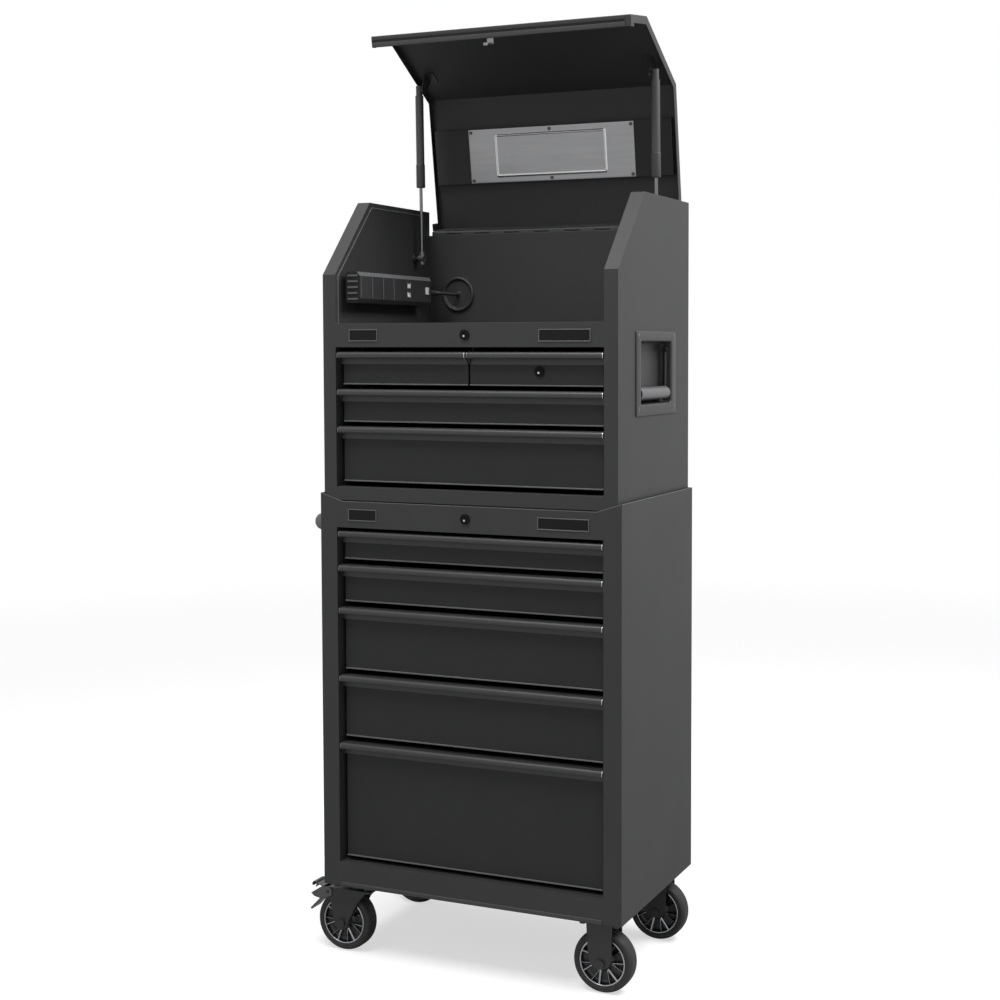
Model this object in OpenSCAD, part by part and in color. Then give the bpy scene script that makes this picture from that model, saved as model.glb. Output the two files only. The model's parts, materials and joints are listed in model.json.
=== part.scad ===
// Rolling tool chest: a lidded top chest standing on a roll cabinet with castors.
// X runs left to right, Y from the front frame to the back, Z up from the floor.
// Lengths are millimetres and angles degrees. The lid is drawn open.

/* [Roll cabinet] */
// Width of the roll cabinet
cab_w = 560; // [530:1:640]
// Depth of the roll cabinet
cab_d = 340; // [330:1:400]
// Width of the front frame's side posts
cab_post = 32; // [30:1:45]
// Height of the rail above the top drawer
cab_top_rail = 45; // [40:1:60]
// Height of the rail below the bottom drawer
cab_low_rail = 42.5; // [36:0.5:60]
// Height of the lip that keeps the chest from sliding off
lip_h = 13.5; // [8:0.5:20]

/* [Roll cabinet drawers] */
// Height of the first drawer front, from the top
cab_front_1 = 50; // [48:0.5:70]
// Height of the second drawer front
cab_front_2 = 64.5; // [50:0.5:90]
// Height of the third and the fourth drawer front
cab_front_3 = 108.5; // [80:0.5:140]
// Height of the bottom drawer front
cab_front_5 = 202; // [150:1:240]
// Gap between two drawer fronts
cab_gap = 9.5; // [5:0.5:12]

/* [Top chest] */
// Width of the top chest, which stands inside the cabinet's lip
chest_w = 546; // [516:1:556]
// Depth of the top chest
chest_d = 336; // [326:1:390]
// Thickness of the chest's double side walls
wall_w = 24.5; // [20:0.5:34]
// Height of the rail above the drawers, which is also the tray's front
chest_top_rail = 40.5; // [38:0.5:60]
// Height of the rail below the drawers
chest_low_rail = 25; // [20:0.5:40]
// Height of the two shallow rows of drawer fronts
chest_front_1 = 56.5; // [50:0.5:80]
// Height of the deep bottom drawer front
chest_front_3 = 95; // [70:0.5:130]
// Gap between two drawer fronts
chest_gap = 7.5; // [5:0.5:10]
// Height from the tray's front rail to the fold of the sides
side_rise = 83.5; // [60:0.5:100]
// Height of the sloping stretch of the sides
slope_rise = 132; // [100:1:150]
// Depth of the sloping stretch of the sides
slope_run = 117; // [90:1:130]

/* [Lid] */
// Angle at which the lid stands open
lid_open = 81.6; // [75:0.1:84]
// How far the lid's front stands forward of the chest
lid_front = 19.5; // [10:0.5:25]
// Gap between the lid and each side wall
lid_side_gap = 2.5; // [1.5:0.1:5]
// Depth of the flange around the lid's edge
lid_flange = 13.8; // [8:0.2:18]
// Width of the name plate, left blank
plate_w = 332; // [200:1:400]
// Height of the name plate
plate_h = 99; // [60:1:110]

/* [Castors] */
// Diameter of the wheels
wheel_d = 105; // [80:1:110]
// Width of the tyres
wheel_w = 32; // [24:1:36]
// Height from the floor to the cabinet's underside
castor_h = 126.5; // [125.5:0.5:150]
// Sideways distance from the cabinet's middle to each castor plate
castor_x = 234.5; // [180:0.5:236]
// Distance from the cabinet's front and back to the wheels' middle
castor_y = 42; // [34:1:70]
// Trail of the swivel castors
trail = 24; // [16:1:26]

/* [Fittings] */
// Diameter of the side handles' grip bars
grip_d = 22; // [14:1:22]
// Diameter of the lock heads
lock_d = 17; // [14:0.5:20]
// Width of the two small badges, left blank
badge_w = 56; // [40:0.5:70]
// Width of the two wide badges, left blank
badge_w2 = 92; // [60:0.5:110]
// Height of the badges
badge_h = 20.5; // [14:0.5:24]
// Diameter of the gas struts' cylinders
strut_d = 15; // [12:0.5:16]
// Diameter of the gas struts' rods
strut_rod_d = 6; // [5:0.5:8]
// Diameter of the power cord
cord_d = 6; // [5.5:0.5:7]

/* [Sheet and clearances] */
// Thickness of the sheet steel
sheet = 1.2; // [0.8:0.1:1.6]
// Space on each side of a drawer for its slide
slide_w = 12.7; // [12:0.1:14]
// Radial clearance of every pin and shaft in its hole
run_fit = 0.05; // [0.02:0.01:0.1]
// Gap between faces that move past each other
face_gap = 0.3; // [0.2:0.05:0.6]

/* [Hidden] */

$fn = 64;
paint = "#2a2b2d";
paint_dark = "#1f2022";
bright = "#c9cbcd";
steel = "#8d9093";
rubber = "#18191a";

// The cabinet's front plate stands just forward of the chest's.
cab_front = -sheet - face_gap;

// Heights of the roll cabinet.
cab_in = cab_w / 2 - cab_post;
cab_fronts = [cab_front_1, cab_front_2, cab_front_3, cab_front_3, cab_front_5];
cab_low = castor_h;
cab_open_low = cab_low + cab_low_rail;
cab_low_gap = 7.5;
cab_open_h = total(cab_fronts, 4) + 4 * cab_gap + cab_low_gap + 6;
cab_open_top = cab_open_low + cab_open_h;
cab_top = cab_open_top + cab_top_rail;

// Heights of the top chest, and the outline of its sides as [y, z] points.
chest_in = chest_w / 2 - wall_w;
chest_fronts = [chest_front_1, chest_front_1, chest_front_3];
chest_low = cab_top;
chest_open_low = chest_low + chest_low_rail;
chest_low_gap = 8.5;
chest_open_h = total(chest_fronts, 2) + 2 * chest_gap + chest_low_gap + 7.5;
chest_open_top = chest_open_low + chest_open_h;
rail_top = chest_open_top + chest_top_rail;
tray_z = chest_open_top + 3.5;
fold_z = rail_top + side_rise;
chest_top = fold_z + slope_rise;
side_edge = [[0, chest_low], [0, fold_z], [slope_run, chest_top], [chest_d, chest_top],
    [chest_d, chest_low]];

// Lid: its hinge line, and its outline as [y, z] points when it is shut.
hinge_y = chest_d + 4;
hinge_z = chest_top - 39.9;
knuckle_r = 4;
lid_half = chest_in - lid_side_gap;
lid_low = rail_top + 8;
lid_edge = [[chest_d, hinge_z + knuckle_r + 0.5], [chest_d, chest_top],
    [slope_run - 25, chest_top], [-lid_front, fold_z], [-lid_front, lid_low], [0, lid_low]];

// Stiffening channel inside the lid: its middle and its depth.
channel_y = slope_run + 84;
channel_h = 14;

// Gas struts: the ball on the wall, and the pivot on the lid, as [y, z] points.
strut_x = chest_in - 15;
ball = [chest_d - 57, hinge_z - 50.6];
pivot_shut = [74.4, hinge_z - 29.5];
pivot_open = turned(pivot_shut);
strut_len = norm(pivot_open - ball);
strut_shut = norm(pivot_shut - ball);
strut_tilt = atan2(ball[0] - pivot_open[0], pivot_open[1] - ball[1]);
tube_len = strut_shut - 27;
rod_len = strut_shut - 26;

// Castors: heights of the swivel head, and the axle.
axle_z = wheel_d / 2;
axle_r = 5;
rim_r = wheel_d / 2 - 11.5;
plate_t = 3.5;
kingpin_r = 6;
fork_t = 2.5;
fork_half = wheel_w / 2 + 8;
crown_z = castor_h - 16;
pedal_pivot = [-trail - 25.8, axle_z + 53];
pedal_tip = castor_x + trail + 70;

// Drawer parts.
face_y = 15.5;
face_in = 6.5;
pan_d = 12;
hem_h = 2.4;
pull_h = 21.5;
nose_h = 11.2;
pull_over = 4.5;
slide_from = 29;
half_gap = 1.6;
slide_len = chest_d - 52;
slide_h = 34;
rail_t = 1.2;

// Push handle: its brackets' start, reach and rounding.
handle_y = 74;
handle_out = 49;
handle_r = 16.5;

// Side handles.
dish_y = [97, 243];
dish_z = [tray_z - 99, tray_z + 7];
dish_depth = wall_w - 2;
bail_z = dish_z[1] - 15;
bail_x = chest_w / 2 - 9;
arm_r = 3;
rivet_r = 4.5;

// Locks stand 3 mm proud of the frame.
lock_proud = 3;
lock_r = lock_d / 2 - 1.5;
cab_lock_up = 23.5;
chest_lock_down = 20;
drawer_lock_at = [chest_in / 2 + 4.5, chest_row(0) + 24.2];

// Power cord: the hole in the grommet, and the route's points.
grommet_x = -chest_in + 62;
grommet_z = tray_z + 96.5;
// The bar's gland points at the grommet, where the cord bends round to run straight back.
gland_turn = 36.1;
gland_at = [-chest_in + 26.5, 281];
gland_long = 22;
gland_way = [sin(gland_turn), cos(gland_turn)];
bend_r = 26;
cord_x = grommet_x;
drop_y = chest_d + 70;
coil_r = 5.5 * cord_d;
coil_at = [cord_x + 88, drop_y + coil_r];
gland_end = gland_at + gland_way * gland_long;
bend_from = [cord_x - bend_r * (1 - cos(gland_turn)), chest_d + 2 - bend_r * sin(gland_turn)];
cord_points = concat(
    [for (s = [0 : 3]) let (q = gland_end + (bend_from - gland_end) * s / 3)
        [q[0], q[1], grommet_z + 1.5 - s * 0.4]],
    [for (s = [2 : -1 : 0]) let (a = gland_turn * s / 3)
        [cord_x - bend_r * (1 - cos(a)), chest_d + 2 - bend_r * sin(a), grommet_z + 0.1 * s]],
    [[cord_x, chest_d + 10, grommet_z],
    [cord_x, chest_d + 18, grommet_z - 2], [cord_x, chest_d + 27, grommet_z - 7],
    [cord_x, chest_d + 34, grommet_z - 16], [cord_x, chest_d + 38, grommet_z - 28],
    [cord_x, chest_d + 42, grommet_z - 60], [cord_x, chest_d + 52, 900],
    [cord_x, chest_d + 63, 600], [cord_x, chest_d + 70, 300], [cord_x, drop_y, 60],
    [cord_x + 2, drop_y, 36],
    [cord_x + 9, drop_y, 19], [cord_x + 20, drop_y, 9], [cord_x + 34, drop_y, cord_d / 2 + 0.5],
    [cord_x + 50, drop_y, cord_d / 2], [cord_x + 74, drop_y, cord_d / 2]]);
tail_points = [[coil_at[0] - 14, coil_at[1] + coil_r, 1.5 * cord_d + 0.2],
    [coil_at[0] - 28, coil_at[1] + coil_r, 11.5], [coil_at[0] - 40, coil_at[1] + coil_r, 12],
    [coil_at[0] - 52, coil_at[1] + coil_r, 12]];

// Reach of the whole object, for the origin at the middle of its foot.
reach_x = [-max(pedal_tip, cab_w / 2 + handle_out), cab_w / 2];
reach_y = [cab_front - lock_proud, turned([chest_d, chest_top])[0]];
middle = [(reach_x[0] + reach_x[1]) / 2, (reach_y[0] + reach_y[1]) / 2];

// Sum of the first n + 1 values of a list.
function total(list, n) = n < 0 ? 0 : list[n] + total(list, n - 1);
// Turn a [y, z] point about the lid's hinge from shut to open.
function turned(p) = [
    hinge_y + (p[0] - hinge_y) * cos(lid_open) + (p[1] - hinge_z) * sin(lid_open),
    hinge_z - (p[0] - hinge_y) * sin(lid_open) + (p[1] - hinge_z) * cos(lid_open)];
// Bottom of the drawer front in row i, counted from the top.
function cab_row(i) = cab_open_top - 6 - total(cab_fronts, i) - i * cab_gap;
function chest_row(i) = chest_open_top - 7.5 - total(chest_fronts, i) - i * chest_gap;
// A path of [y, z] points given a thickness to its left, with mitred corners.
function unit(v) = v / norm(v);
function left(v) = [-v[1], v[0]];
function corner(p, i, t) = let (
    a = unit(i > 0 ? p[i] - p[i - 1] : p[i + 1] - p[i]),
    b = unit(i < len(p) - 1 ? p[i + 1] - p[i] : p[i] - p[i - 1]),
    k = unit(left(a) + left(b))) p[i] + k * t / (k * left(a));
function strip(p, t) = concat(p, [for (i = [len(p) - 1 : -1 : 0]) corner(p, i, t)]);
function arc(c, r, a, b, n) = [for (i = [0 : n]) let (s = a + (b - a) * i / n)
    [c[0] + r * cos(s), c[1] + r * sin(s)]];

module at_origin() {
    translate([-middle[0], -middle[1], 0]) children();
}

// The cabinet and all that is fixed to it stand forward of the chest by cab_front.
module at_cab() {
    at_origin() translate([0, cab_front, 0]) children();
}

module block(x, y, z) {
    translate([x[0], y[0], z[0]]) cube([x[1] - x[0], y[1] - y[0], z[1] - z[0]]);
}

module pair() {
    children();
    mirror([1, 0, 0]) children();
}

// A [y, z] shape drawn out along X, and an [x, z] shape drawn out along Y.
module along_x(from, to) {
    translate([from, 0, 0]) rotate([90, 0, 90]) linear_extrude(to - from) children();
}

module along_y(from, to) {
    translate([0, to, 0]) rotate([90, 0, 0]) linear_extrude(to - from) children();
}

// Round bars along the axes, starting at a point.
module bar_x(at, r, long) {
    translate(at) rotate([0, 90, 0]) cylinder(r = r, h = long);
}

module bar_y(at, r, long) {
    translate(at) rotate([-90, 0, 0]) cylinder(r = r, h = long);
}

// Domed rivet head on a face square to X.
module rivet_x(at, r, h) {
    translate(at) rotate([0, 90, 0]) cylinder(r = r, h = h);
}

// ---- Cabinet bodies -------------------------------------------------------

// Posts, rails and their folded edges around a drawer opening.
module front_frame(half, in, low, top, open_low, open_top, fold) {
    difference() {
        block([-half, half], [0, sheet], [low, top]);
        block([-in, in], [-1, sheet + 1], [open_low, open_top]);
    }
    pair() block([in, in + sheet], [0, fold], [low, open_top + sheet]);
    block([-in, in], [0, fold - 16], [open_top, open_top + sheet]);
    block([-in, in], [0, fold - 16], [open_low - sheet, open_low]);
}

// Z-shaped post near the back that carries the slides' rear ends.
module rear_post(half, in, at, low, top) {
    block([in, in + sheet], [at - 30, at], [low, top]);
    block([in, half], [at - sheet, at], [low, top]);
}

module cab_shell() {
    half = cab_w / 2;
    color(paint) at_cab() difference() {
        union() {
            pair() block([half - sheet, half], [0, cab_d], [cab_low, cab_top + lip_h]);
            block([-half, half], [0, cab_d], [cab_top - sheet, cab_top]);
            block([-half, half], [0, cab_d], [cab_low, cab_low + sheet]);
            front_frame(half, cab_in, cab_low, cab_top, cab_open_low, cab_open_top, 42);
            pair() rear_post(half, cab_in, cab_d - 40, cab_low, cab_top);
            block([-half, half], [cab_d - sheet, cab_d], [cab_top - 1, cab_top + lip_h]);
            pair() along_y(0, sheet) polygon([[half - 43, cab_top - 1], [half, cab_top - 1],
                [half, cab_top + lip_h], [half - 43, cab_top]]);
        }
        bar_y([0, -1, cab_open_top + cab_lock_up], lock_r + run_fit, 4);
    }
}

// Back panel, set between the sides.
module cab_back() {
    color(paint_dark) at_cab()
        block([sheet - cab_w / 2, cab_w / 2 - sheet], [cab_d - sheet, cab_d],
            [cab_low + sheet, cab_top - sheet]);
}

module chest_shell() {
    half = chest_w / 2;
    tray_side = [[0, tray_z - sheet], [0, fold_z], [slope_run, chest_top], [chest_d, chest_top],
        [chest_d, tray_z - sheet]];
    seam = [[9, tray_z + 6], [9, fold_z - 3], [slope_run + 6, chest_top - 9],
        [chest_d - 24, chest_top - 9]];
    color(paint) at_origin() difference() {
        union() {
            pair() along_x(half - sheet, half) polygon(side_edge);
            pair() along_x(chest_in, chest_in + sheet) polygon(tray_side);
            pair() along_x(chest_in, half) polygon(strip(side_edge, -sheet));
            block([-half, half], [0, chest_d], [chest_low, chest_low + sheet]);
            front_frame(half, chest_in, chest_low + 2, rail_top, chest_open_low, chest_open_top, 42);
            pair() along_x(chest_in - 0.8, chest_in + 0.1) polygon(strip(seam, 1.6));
            block([-chest_in, chest_in], [0, 15], [rail_top - sheet, rail_top]);
            block([-chest_in, chest_in], [15 - sheet, 15], [rail_top - 8, rail_top]);
            pair() rear_post(half, chest_in, chest_d - 38, chest_low, tray_z - sheet);
            block([-half, half], [chest_d - sheet, chest_d],
                [chest_low, hinge_z - knuckle_r - 0.6]);
            pair() bar_x([strut_x - 4, ball[0], ball[1]], 4, chest_in - strut_x + 4);
            pair() bar_x([chest_in - 2, ball[0], ball[1]], 9, 2);
        }
        bar_y([0, -1, rail_top - chest_lock_down], lock_r + run_fit, 4);
        block([-21, -7], [sheet, 15 - sheet], [rail_top - 4, rail_top + 1]);
        bar_y([grommet_x, chest_d - 4, grommet_z], 30, 8);
        pair() block([half - 4, half + 1], [dish_y[0] - 1.5, dish_y[1] + 1.5],
            [dish_z[0] - 1.5, dish_z[1] + 1.5]);
    }
}

// Tray floor with the hanging partition between the two half drawers.
module tray_floor() {
    color(paint_dark) at_origin() {
        block([face_gap - chest_in, chest_in - face_gap], [sheet, chest_d - sheet],
            [tray_z - sheet, tray_z]);
        block([-1.5, 1.5], [30, chest_d - 16], [chest_row(0), tray_z - sheet]);
    }
}

// ---- Drawer slides --------------------------------------------------------

// C-shaped rail along Y, its web at x and its lips towards dir.
module c_rail(x, z, y0, y1, h, deep, dir) {
    t = rail_t;
    translate([x, 0, z]) along_y(y0, y1) difference() {
        translate([dir > 0 ? 0 : -deep, -h / 2]) square([deep, h]);
        translate([dir > 0 ? t : -deep - 1, t - h / 2]) square([deep - t + 1, h - 2 * t]);
    }
}

// Height of the slides on a drawer whose front starts at z.
function slide_z(z) = z + 24;

module outer_rails(in, z) {
    pair() c_rail(in, slide_z(z), slide_from, slide_from + slide_len, slide_h, 8, -1);
}

module slide_rails() {
    color(steel) {
        at_cab() for (i = [0 : 4]) outer_rails(cab_in, cab_row(i));
        at_origin() for (i = [0 : 2]) outer_rails(chest_in, chest_row(i));
        at_origin() pair() c_rail(1.5, slide_z(chest_row(0)), slide_from + 8, slide_from + slide_len,
            slide_h, 8, 1);
    }
}

// ---- Drawers --------------------------------------------------------------

// A drawer: folded front pan, open-topped box and the slides' inner members.
module drawer(face_x, box_x, z, h) {
    y1 = face_y + pan_d;
    y2 = chest_d - 22;
    top = z + h - 10;
    difference() {
        block(face_x, [face_y, y1], [z, z + h]);
        block([face_x[0] + sheet, face_x[1] - sheet], [face_y + sheet, y1 + 1],
            [z + sheet, z + h - sheet]);
    }
    block(face_x, [face_y - 1.4, face_y + 0.5], [z, z + hem_h]);
    difference() {
        block(box_x, [face_y + sheet, y2], [z + 6, top]);
        block([box_x[0] + sheet, box_x[1] - sheet], [face_y + 2 * sheet, y2 - sheet],
            [z + 6 + sheet, top + 1]);
    }
    inner_h = slide_h - 2 * rail_t - 2 * face_gap;
    c_rail(box_x[0], slide_z(z), y1 + 3, slide_from + slide_len - 3, inner_h, 8, -1);
    c_rail(box_x[1], slide_z(z), y1 + 3, slide_from + slide_len - 3, inner_h, 8, 1);
}

module full_drawer(in, z, h) {
    face = in - face_in;
    box = in - slide_w;
    color(paint_dark) drawer([-face, face], [-box, box], z, h);
}

module half_drawer(side) {
    face = chest_in - face_in;
    box = chest_in - slide_w;
    z = chest_row(0);
    color(paint_dark) at_origin() mirror([side < 0 ? 1 : 0, 0, 0]) difference() {
        drawer([half_gap, face], [1.5 + slide_w, box], z, chest_front_1);
        if (side > 0) bar_y([drawer_lock_at[0], face_y - 1, drawer_lock_at[1]],
            lock_r + run_fit, pan_d + 4);
    }
}

module chest_drawer_1_left() { half_drawer(-1); }
module chest_drawer_1_right() { half_drawer(1); }
module chest_drawer_2() { at_origin() full_drawer(chest_in, chest_row(1), chest_front_1); }
module chest_drawer_3() { at_origin() full_drawer(chest_in, chest_row(2), chest_front_3); }
module cab_drawer_1() { at_cab() full_drawer(cab_in, cab_row(0), cab_front_1); }
module cab_drawer_2() { at_cab() full_drawer(cab_in, cab_row(1), cab_front_2); }
module cab_drawer_3() { at_cab() full_drawer(cab_in, cab_row(2), cab_front_3); }
module cab_drawer_4() { at_cab() full_drawer(cab_in, cab_row(3), cab_front_3); }
module cab_drawer_5() { at_cab() full_drawer(cab_in, cab_row(4), cab_front_5); }

// Rolled pull along a front's top edge: its nose hangs free over a finger groove,
// and a cap closes each end.
module pull(x0, x1, top) {
    nose = concat([[face_y, 0]], arc([5.5, -5.5], 5.5, 90, 180, 7),
        arc([3, 3 - nose_h], 3, 180, 290, 5));
    cap = 2;
    translate([0, 0, top]) {
        along_x(x0 + cap, x1 - cap)
            polygon(strip(concat([[face_y, -pull_h]], nose), 1.4));
        along_x(x0, x0 + cap) polygon(concat([[face_y, -pull_h]], nose));
        along_x(x1 - cap, x1) polygon(concat([[face_y, -pull_h]], nose));
    }
}

module full_pull(in, z, h) {
    half = in - face_in + pull_over;
    color(paint) pull(-half, half, z + h);
}

module chest_pull_1_left() {
    color(paint) at_origin() mirror([1, 0, 0])
        pull(half_gap, chest_in - face_in + pull_over, chest_row(0) + chest_front_1);
}

module chest_pull_1_right() {
    color(paint) at_origin()
        pull(half_gap, chest_in - face_in + pull_over, chest_row(0) + chest_front_1);
}

module chest_pull_2() { at_origin() full_pull(chest_in, chest_row(1), chest_front_1); }
module chest_pull_3() { at_origin() full_pull(chest_in, chest_row(2), chest_front_3); }
module cab_pull_1() { at_cab() full_pull(cab_in, cab_row(0), cab_front_1); }
module cab_pull_2() { at_cab() full_pull(cab_in, cab_row(1), cab_front_2); }
module cab_pull_3() { at_cab() full_pull(cab_in, cab_row(2), cab_front_3); }
module cab_pull_4() { at_cab() full_pull(cab_in, cab_row(3), cab_front_3); }
module cab_pull_5() { at_cab() full_pull(cab_in, cab_row(4), cab_front_5); }

// ---- Locks ----------------------------------------------------------------

// Lock barrel with a domed head in front of the face at y, and a cam behind it.
module lock(x, y, z, long) {
    translate([x, y, z]) {
        difference() {
            bar_y([0, -lock_proud, 0], lock_d / 2, lock_proud - face_gap / 2);
            translate([-1, -lock_proud - 1, -4]) cube([2, 2.5, 8]);
        }
        bar_y([0, -1, 0], lock_r, long + 1);
        block([-lock_r, 16], [long - 2, long], [-5, 5]);
    }
}

module chest_lock() {
    color(paint_dark) at_origin() lock(0, 0, rail_top - chest_lock_down, 11);
}

module cab_lock() {
    color(paint_dark) at_cab() lock(0, 0, cab_open_top + cab_lock_up, 22);
}

module drawer_lock() {
    color(paint_dark) at_origin()
        lock(drawer_lock_at[0], face_y, drawer_lock_at[1], 9);
}

// ---- Badges, handles ------------------------------------------------------

// Blank badge with a raised border, hung from its top left corner.
module badge(x, w, top) {
    block([x, x + w], [-0.8, 0], [top - badge_h, top]);
    difference() {
        block([x, x + w], [-1.4, -0.7], [top - badge_h, top]);
        block([x + 1.6, x + w - 1.6], [-2, 0], [top - badge_h + 1.6, top - 1.6]);
    }
}

module badges() {
    color(bright) {
        at_origin() {
            badge(-chest_in + 27, badge_w, rail_top - 10);
            badge(chest_in - 22.5 - badge_w2, badge_w2, rail_top - 11);
        }
        at_cab() {
            badge(-cab_in + 23, badge_w, cab_top - 12.5);
            badge(cab_in - 24 - badge_w2, badge_w2, cab_top - 12.5);
        }
    }
}

// Recessed pressed pan behind each side handle, with rivet heads on its rim.
module dish() {
    half = chest_w / 2;
    back = half - dish_depth;
    difference() {
        union() {
            block([half, half + 1.5], [dish_y[0] - 20.5, dish_y[1] + 20.5],
                [dish_z[0] - 18, dish_z[1] + 16]);
            block([back, half + 1], [dish_y[0] - sheet, dish_y[1] + sheet],
                [dish_z[0] - sheet, dish_z[1] + sheet]);
        }
        block([back + sheet, half + 2], dish_y, dish_z);
        for (y = dish_y) bar_y([bail_x, y - 3, bail_z], arm_r + run_fit, 6);
    }
    for (y = [dish_y[0] - 11, dish_y[1] + 11], z = [dish_z[0] - 7, dish_z[1] + 8])
        rivet_x([half + 1.4, y, z], rivet_r, 1.8);
}

module handle_dishes() {
    color(paint_dark) at_origin() pair() dish();
}

// Swinging bail: a bent rod on pins in the pan's ends, and a thick grip sleeve.
module bail() {
    y0 = dish_y[0] + 1;
    y1 = dish_y[1] - 1;
    z = dish_z[0] + 18;
    for (y = [y0 + arm_r, y1 - arm_r]) {
        translate([bail_x, y, z]) cylinder(r = arm_r, h = bail_z - z);
        bar_y([bail_x, y - arm_r - 0.3, bail_z], arm_r + 1.5, 2 * arm_r + 0.6);
        bar_y([bail_x, y - arm_r - 0.3, z], arm_r + 1, 2 * arm_r + 0.6);
    }
    for (y = [y0 - 2, y1 - 2]) bar_y([bail_x, y, bail_z], arm_r, 4);
    bar_y([bail_x, y0 + 2 * arm_r - 0.5, z], grip_d / 2, y1 - y0 - 4 * arm_r + 1);
}

module bail_right() { color(bright) at_origin() bail(); }
module bail_left() { color(bright) at_origin() mirror([1, 0, 0]) bail(); }

// Push handle on the cabinet's left side: a tube between two rounded brackets.
module push_handle() {
    x = -cab_w / 2;
    z = cab_top - 43.5;
    w = 20;
    color(paint) at_cab() {
        for (y = [handle_y, cab_d - handle_y - w]) along_y(y, y + w) {
            translate([x - handle_out + handle_r, z - handle_r])
                square([handle_out - handle_r, 2 * handle_r]);
            translate([x - handle_out + handle_r, z]) circle(r = handle_r);
        }
        bar_y([x - handle_out + handle_r, handle_y + w - 1, z], handle_r - 4.5,
            cab_d - 2 * (handle_y + w) + 2);
    }
}

// ---- Castors --------------------------------------------------------------

// Top plate with its four bolt heads, in the castor's own position.
module castor_plate() {
    difference() {
        block([-40, 40], [-34, 34], [castor_h - plate_t, castor_h]);
        translate([0, 0, castor_h]) bolt_slots();
    }
    for (x = [-30, 30], y = [-24, 24])
        translate([x, y, castor_h - plate_t - 4.8]) cylinder(r = 6.5, h = 5, $fn = 6);
}

module bolt_slots() {
    for (x = [-30, 30], y = [-24, 24]) translate([x, y, -1]) cylinder(r = 4, h = 3);
}

// Axle bolt through both legs, with a head at each end.
module axle(x) {
    bar_y([x, -fork_half - 2, axle_z], axle_r, 2 * fork_half + 4);
    for (y = [-fork_half - 3.5, fork_half]) bar_y([x, y, axle_z], 8, 3.5);
}

module rigid_fork() {
    castor_plate();
    for (y = [-fork_half, fork_half - fork_t]) along_y(y, y + fork_t) {
        polygon([[-24.5, castor_h - plate_t + 0.5], [-23.5, axle_z + 50], [-20.5, axle_z + 11],
            [20.5, axle_z + 11], [20.5, castor_h - plate_t + 0.5]]);
        translate([0, axle_z + 11.5]) circle(r = 20.5);
    }
    axle(0);
}

module rigid_forks() {
    color(steel) for (y = [castor_y, cab_d - castor_y]) at_castor(1, y) rigid_fork();
}

// Swivel castor's plate, upper ball race and kingpin.
module swivel_plates() {
    color(steel) for (y = [castor_y, cab_d - castor_y])
        at_castor(-1, y) {
            castor_plate();
            translate([0, 0, crown_z + 9]) cylinder(r = 21, h = castor_h - crown_z - 12);
            translate([0, 0, crown_z - 4]) cylinder(r = kingpin_r, h = 15);
            translate([0, 0, crown_z - 4]) cylinder(r = 10, h = 4 - face_gap);
        }
}

// Swivel fork: crown with the lower race, two tapering legs, the brake's pin.
module swivel_fork() {
    x = -trail;
    difference() {
        union() {
            block([-49.5, 35.5], [-fork_half, fork_half], [crown_z, crown_z + 3]);
            translate([0, 0, crown_z + 1]) cylinder(r = 19, h = 8 - face_gap);
        }
        translate([0, 0, crown_z - 5]) cylinder(r = kingpin_r + run_fit, h = 20);
    }
    for (y = [-fork_half, fork_half - fork_t]) along_y(y, y + fork_t) {
        polygon([[-49.5, crown_z + 3], [-49, axle_z + 46], [-46, axle_z + 38], [x - 13, axle_z],
            [x + 12.5, axle_z], [x + 17.5, axle_z + 9], [8.6, axle_z + 37.6],
            [25, axle_z + 57], [35.5, crown_z], [35.5, crown_z + 3]]);
        translate([x, axle_z]) circle(r = 13);
    }
    translate([x, 0, 0]) axle(0);
    bar_y([pedal_pivot[0], -fork_half - 3, pedal_pivot[1]], 2.5, 2 * fork_half + 6);
}

// Brake pedal: a hood whose cheeks hang on the fork's pin, with a blade to press
// below and a curled tab to lift above.
module brake_pedal() {
    px = pedal_pivot[0];
    pz = pedal_pivot[1];
    tip = castor_x - pedal_tip;
    cheek = fork_half + face_gap;
    difference() {
        union() {
            for (y = [-cheek - 1.5, cheek]) along_y(y, y + 1.5)
                polygon([[px + 8, pz - 6], [px + 8, pz + 4], [px + 2, pz + 8.5],
                    [px - 11, pz + 7], [px - 26, pz - 1], [px - 34, pz - 6.5],
                    [px - 28, pz - 11.6], [px - 16, pz - 14], [px - 4, pz - 12]]);
            along_y(-cheek - 1.5, cheek + 1.5) polygon(strip([[px - 34, pz - 6.5],
                [px - 26, pz - 1], [px - 11, pz + 7]], -1.5));
            along_y(-14, 14) {
                polygon([[px - 14, pz + 3.5], [px - 16, pz + 1.5], [tip + 13, pz + 8.5],
                    [tip + 8, pz + 10]]);
                difference() {
                    translate([tip + 10.5, pz + 5.5]) circle(r = 5.5);
                    translate([tip + 10.5, pz + 5.5]) circle(r = 3.2);
                    translate([tip + 4, pz - 3]) square([8, 6]);
                }
                polygon(strip([[px - 16.5, pz + 3], [px - 22, pz - 17],
                    [tip + 1, axle_z + 14.5]], 3.5));
            }
        }
        bar_y([px, -40, pz], 2.5 + run_fit, 80);
    }
}

module at_castor(side, y) {
    at_cab() translate([side * castor_x, y, 0]) children();
}

module swivel_fork_front() { color(steel) at_castor(-1, castor_y) swivel_fork(); }
module swivel_fork_rear() { color(steel) at_castor(-1, cab_d - castor_y) swivel_fork(); }
module brake_pedal_front() { color(steel) at_castor(-1, castor_y) brake_pedal(); }
module brake_pedal_rear() { color(steel) at_castor(-1, cab_d - castor_y) brake_pedal(); }

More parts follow.
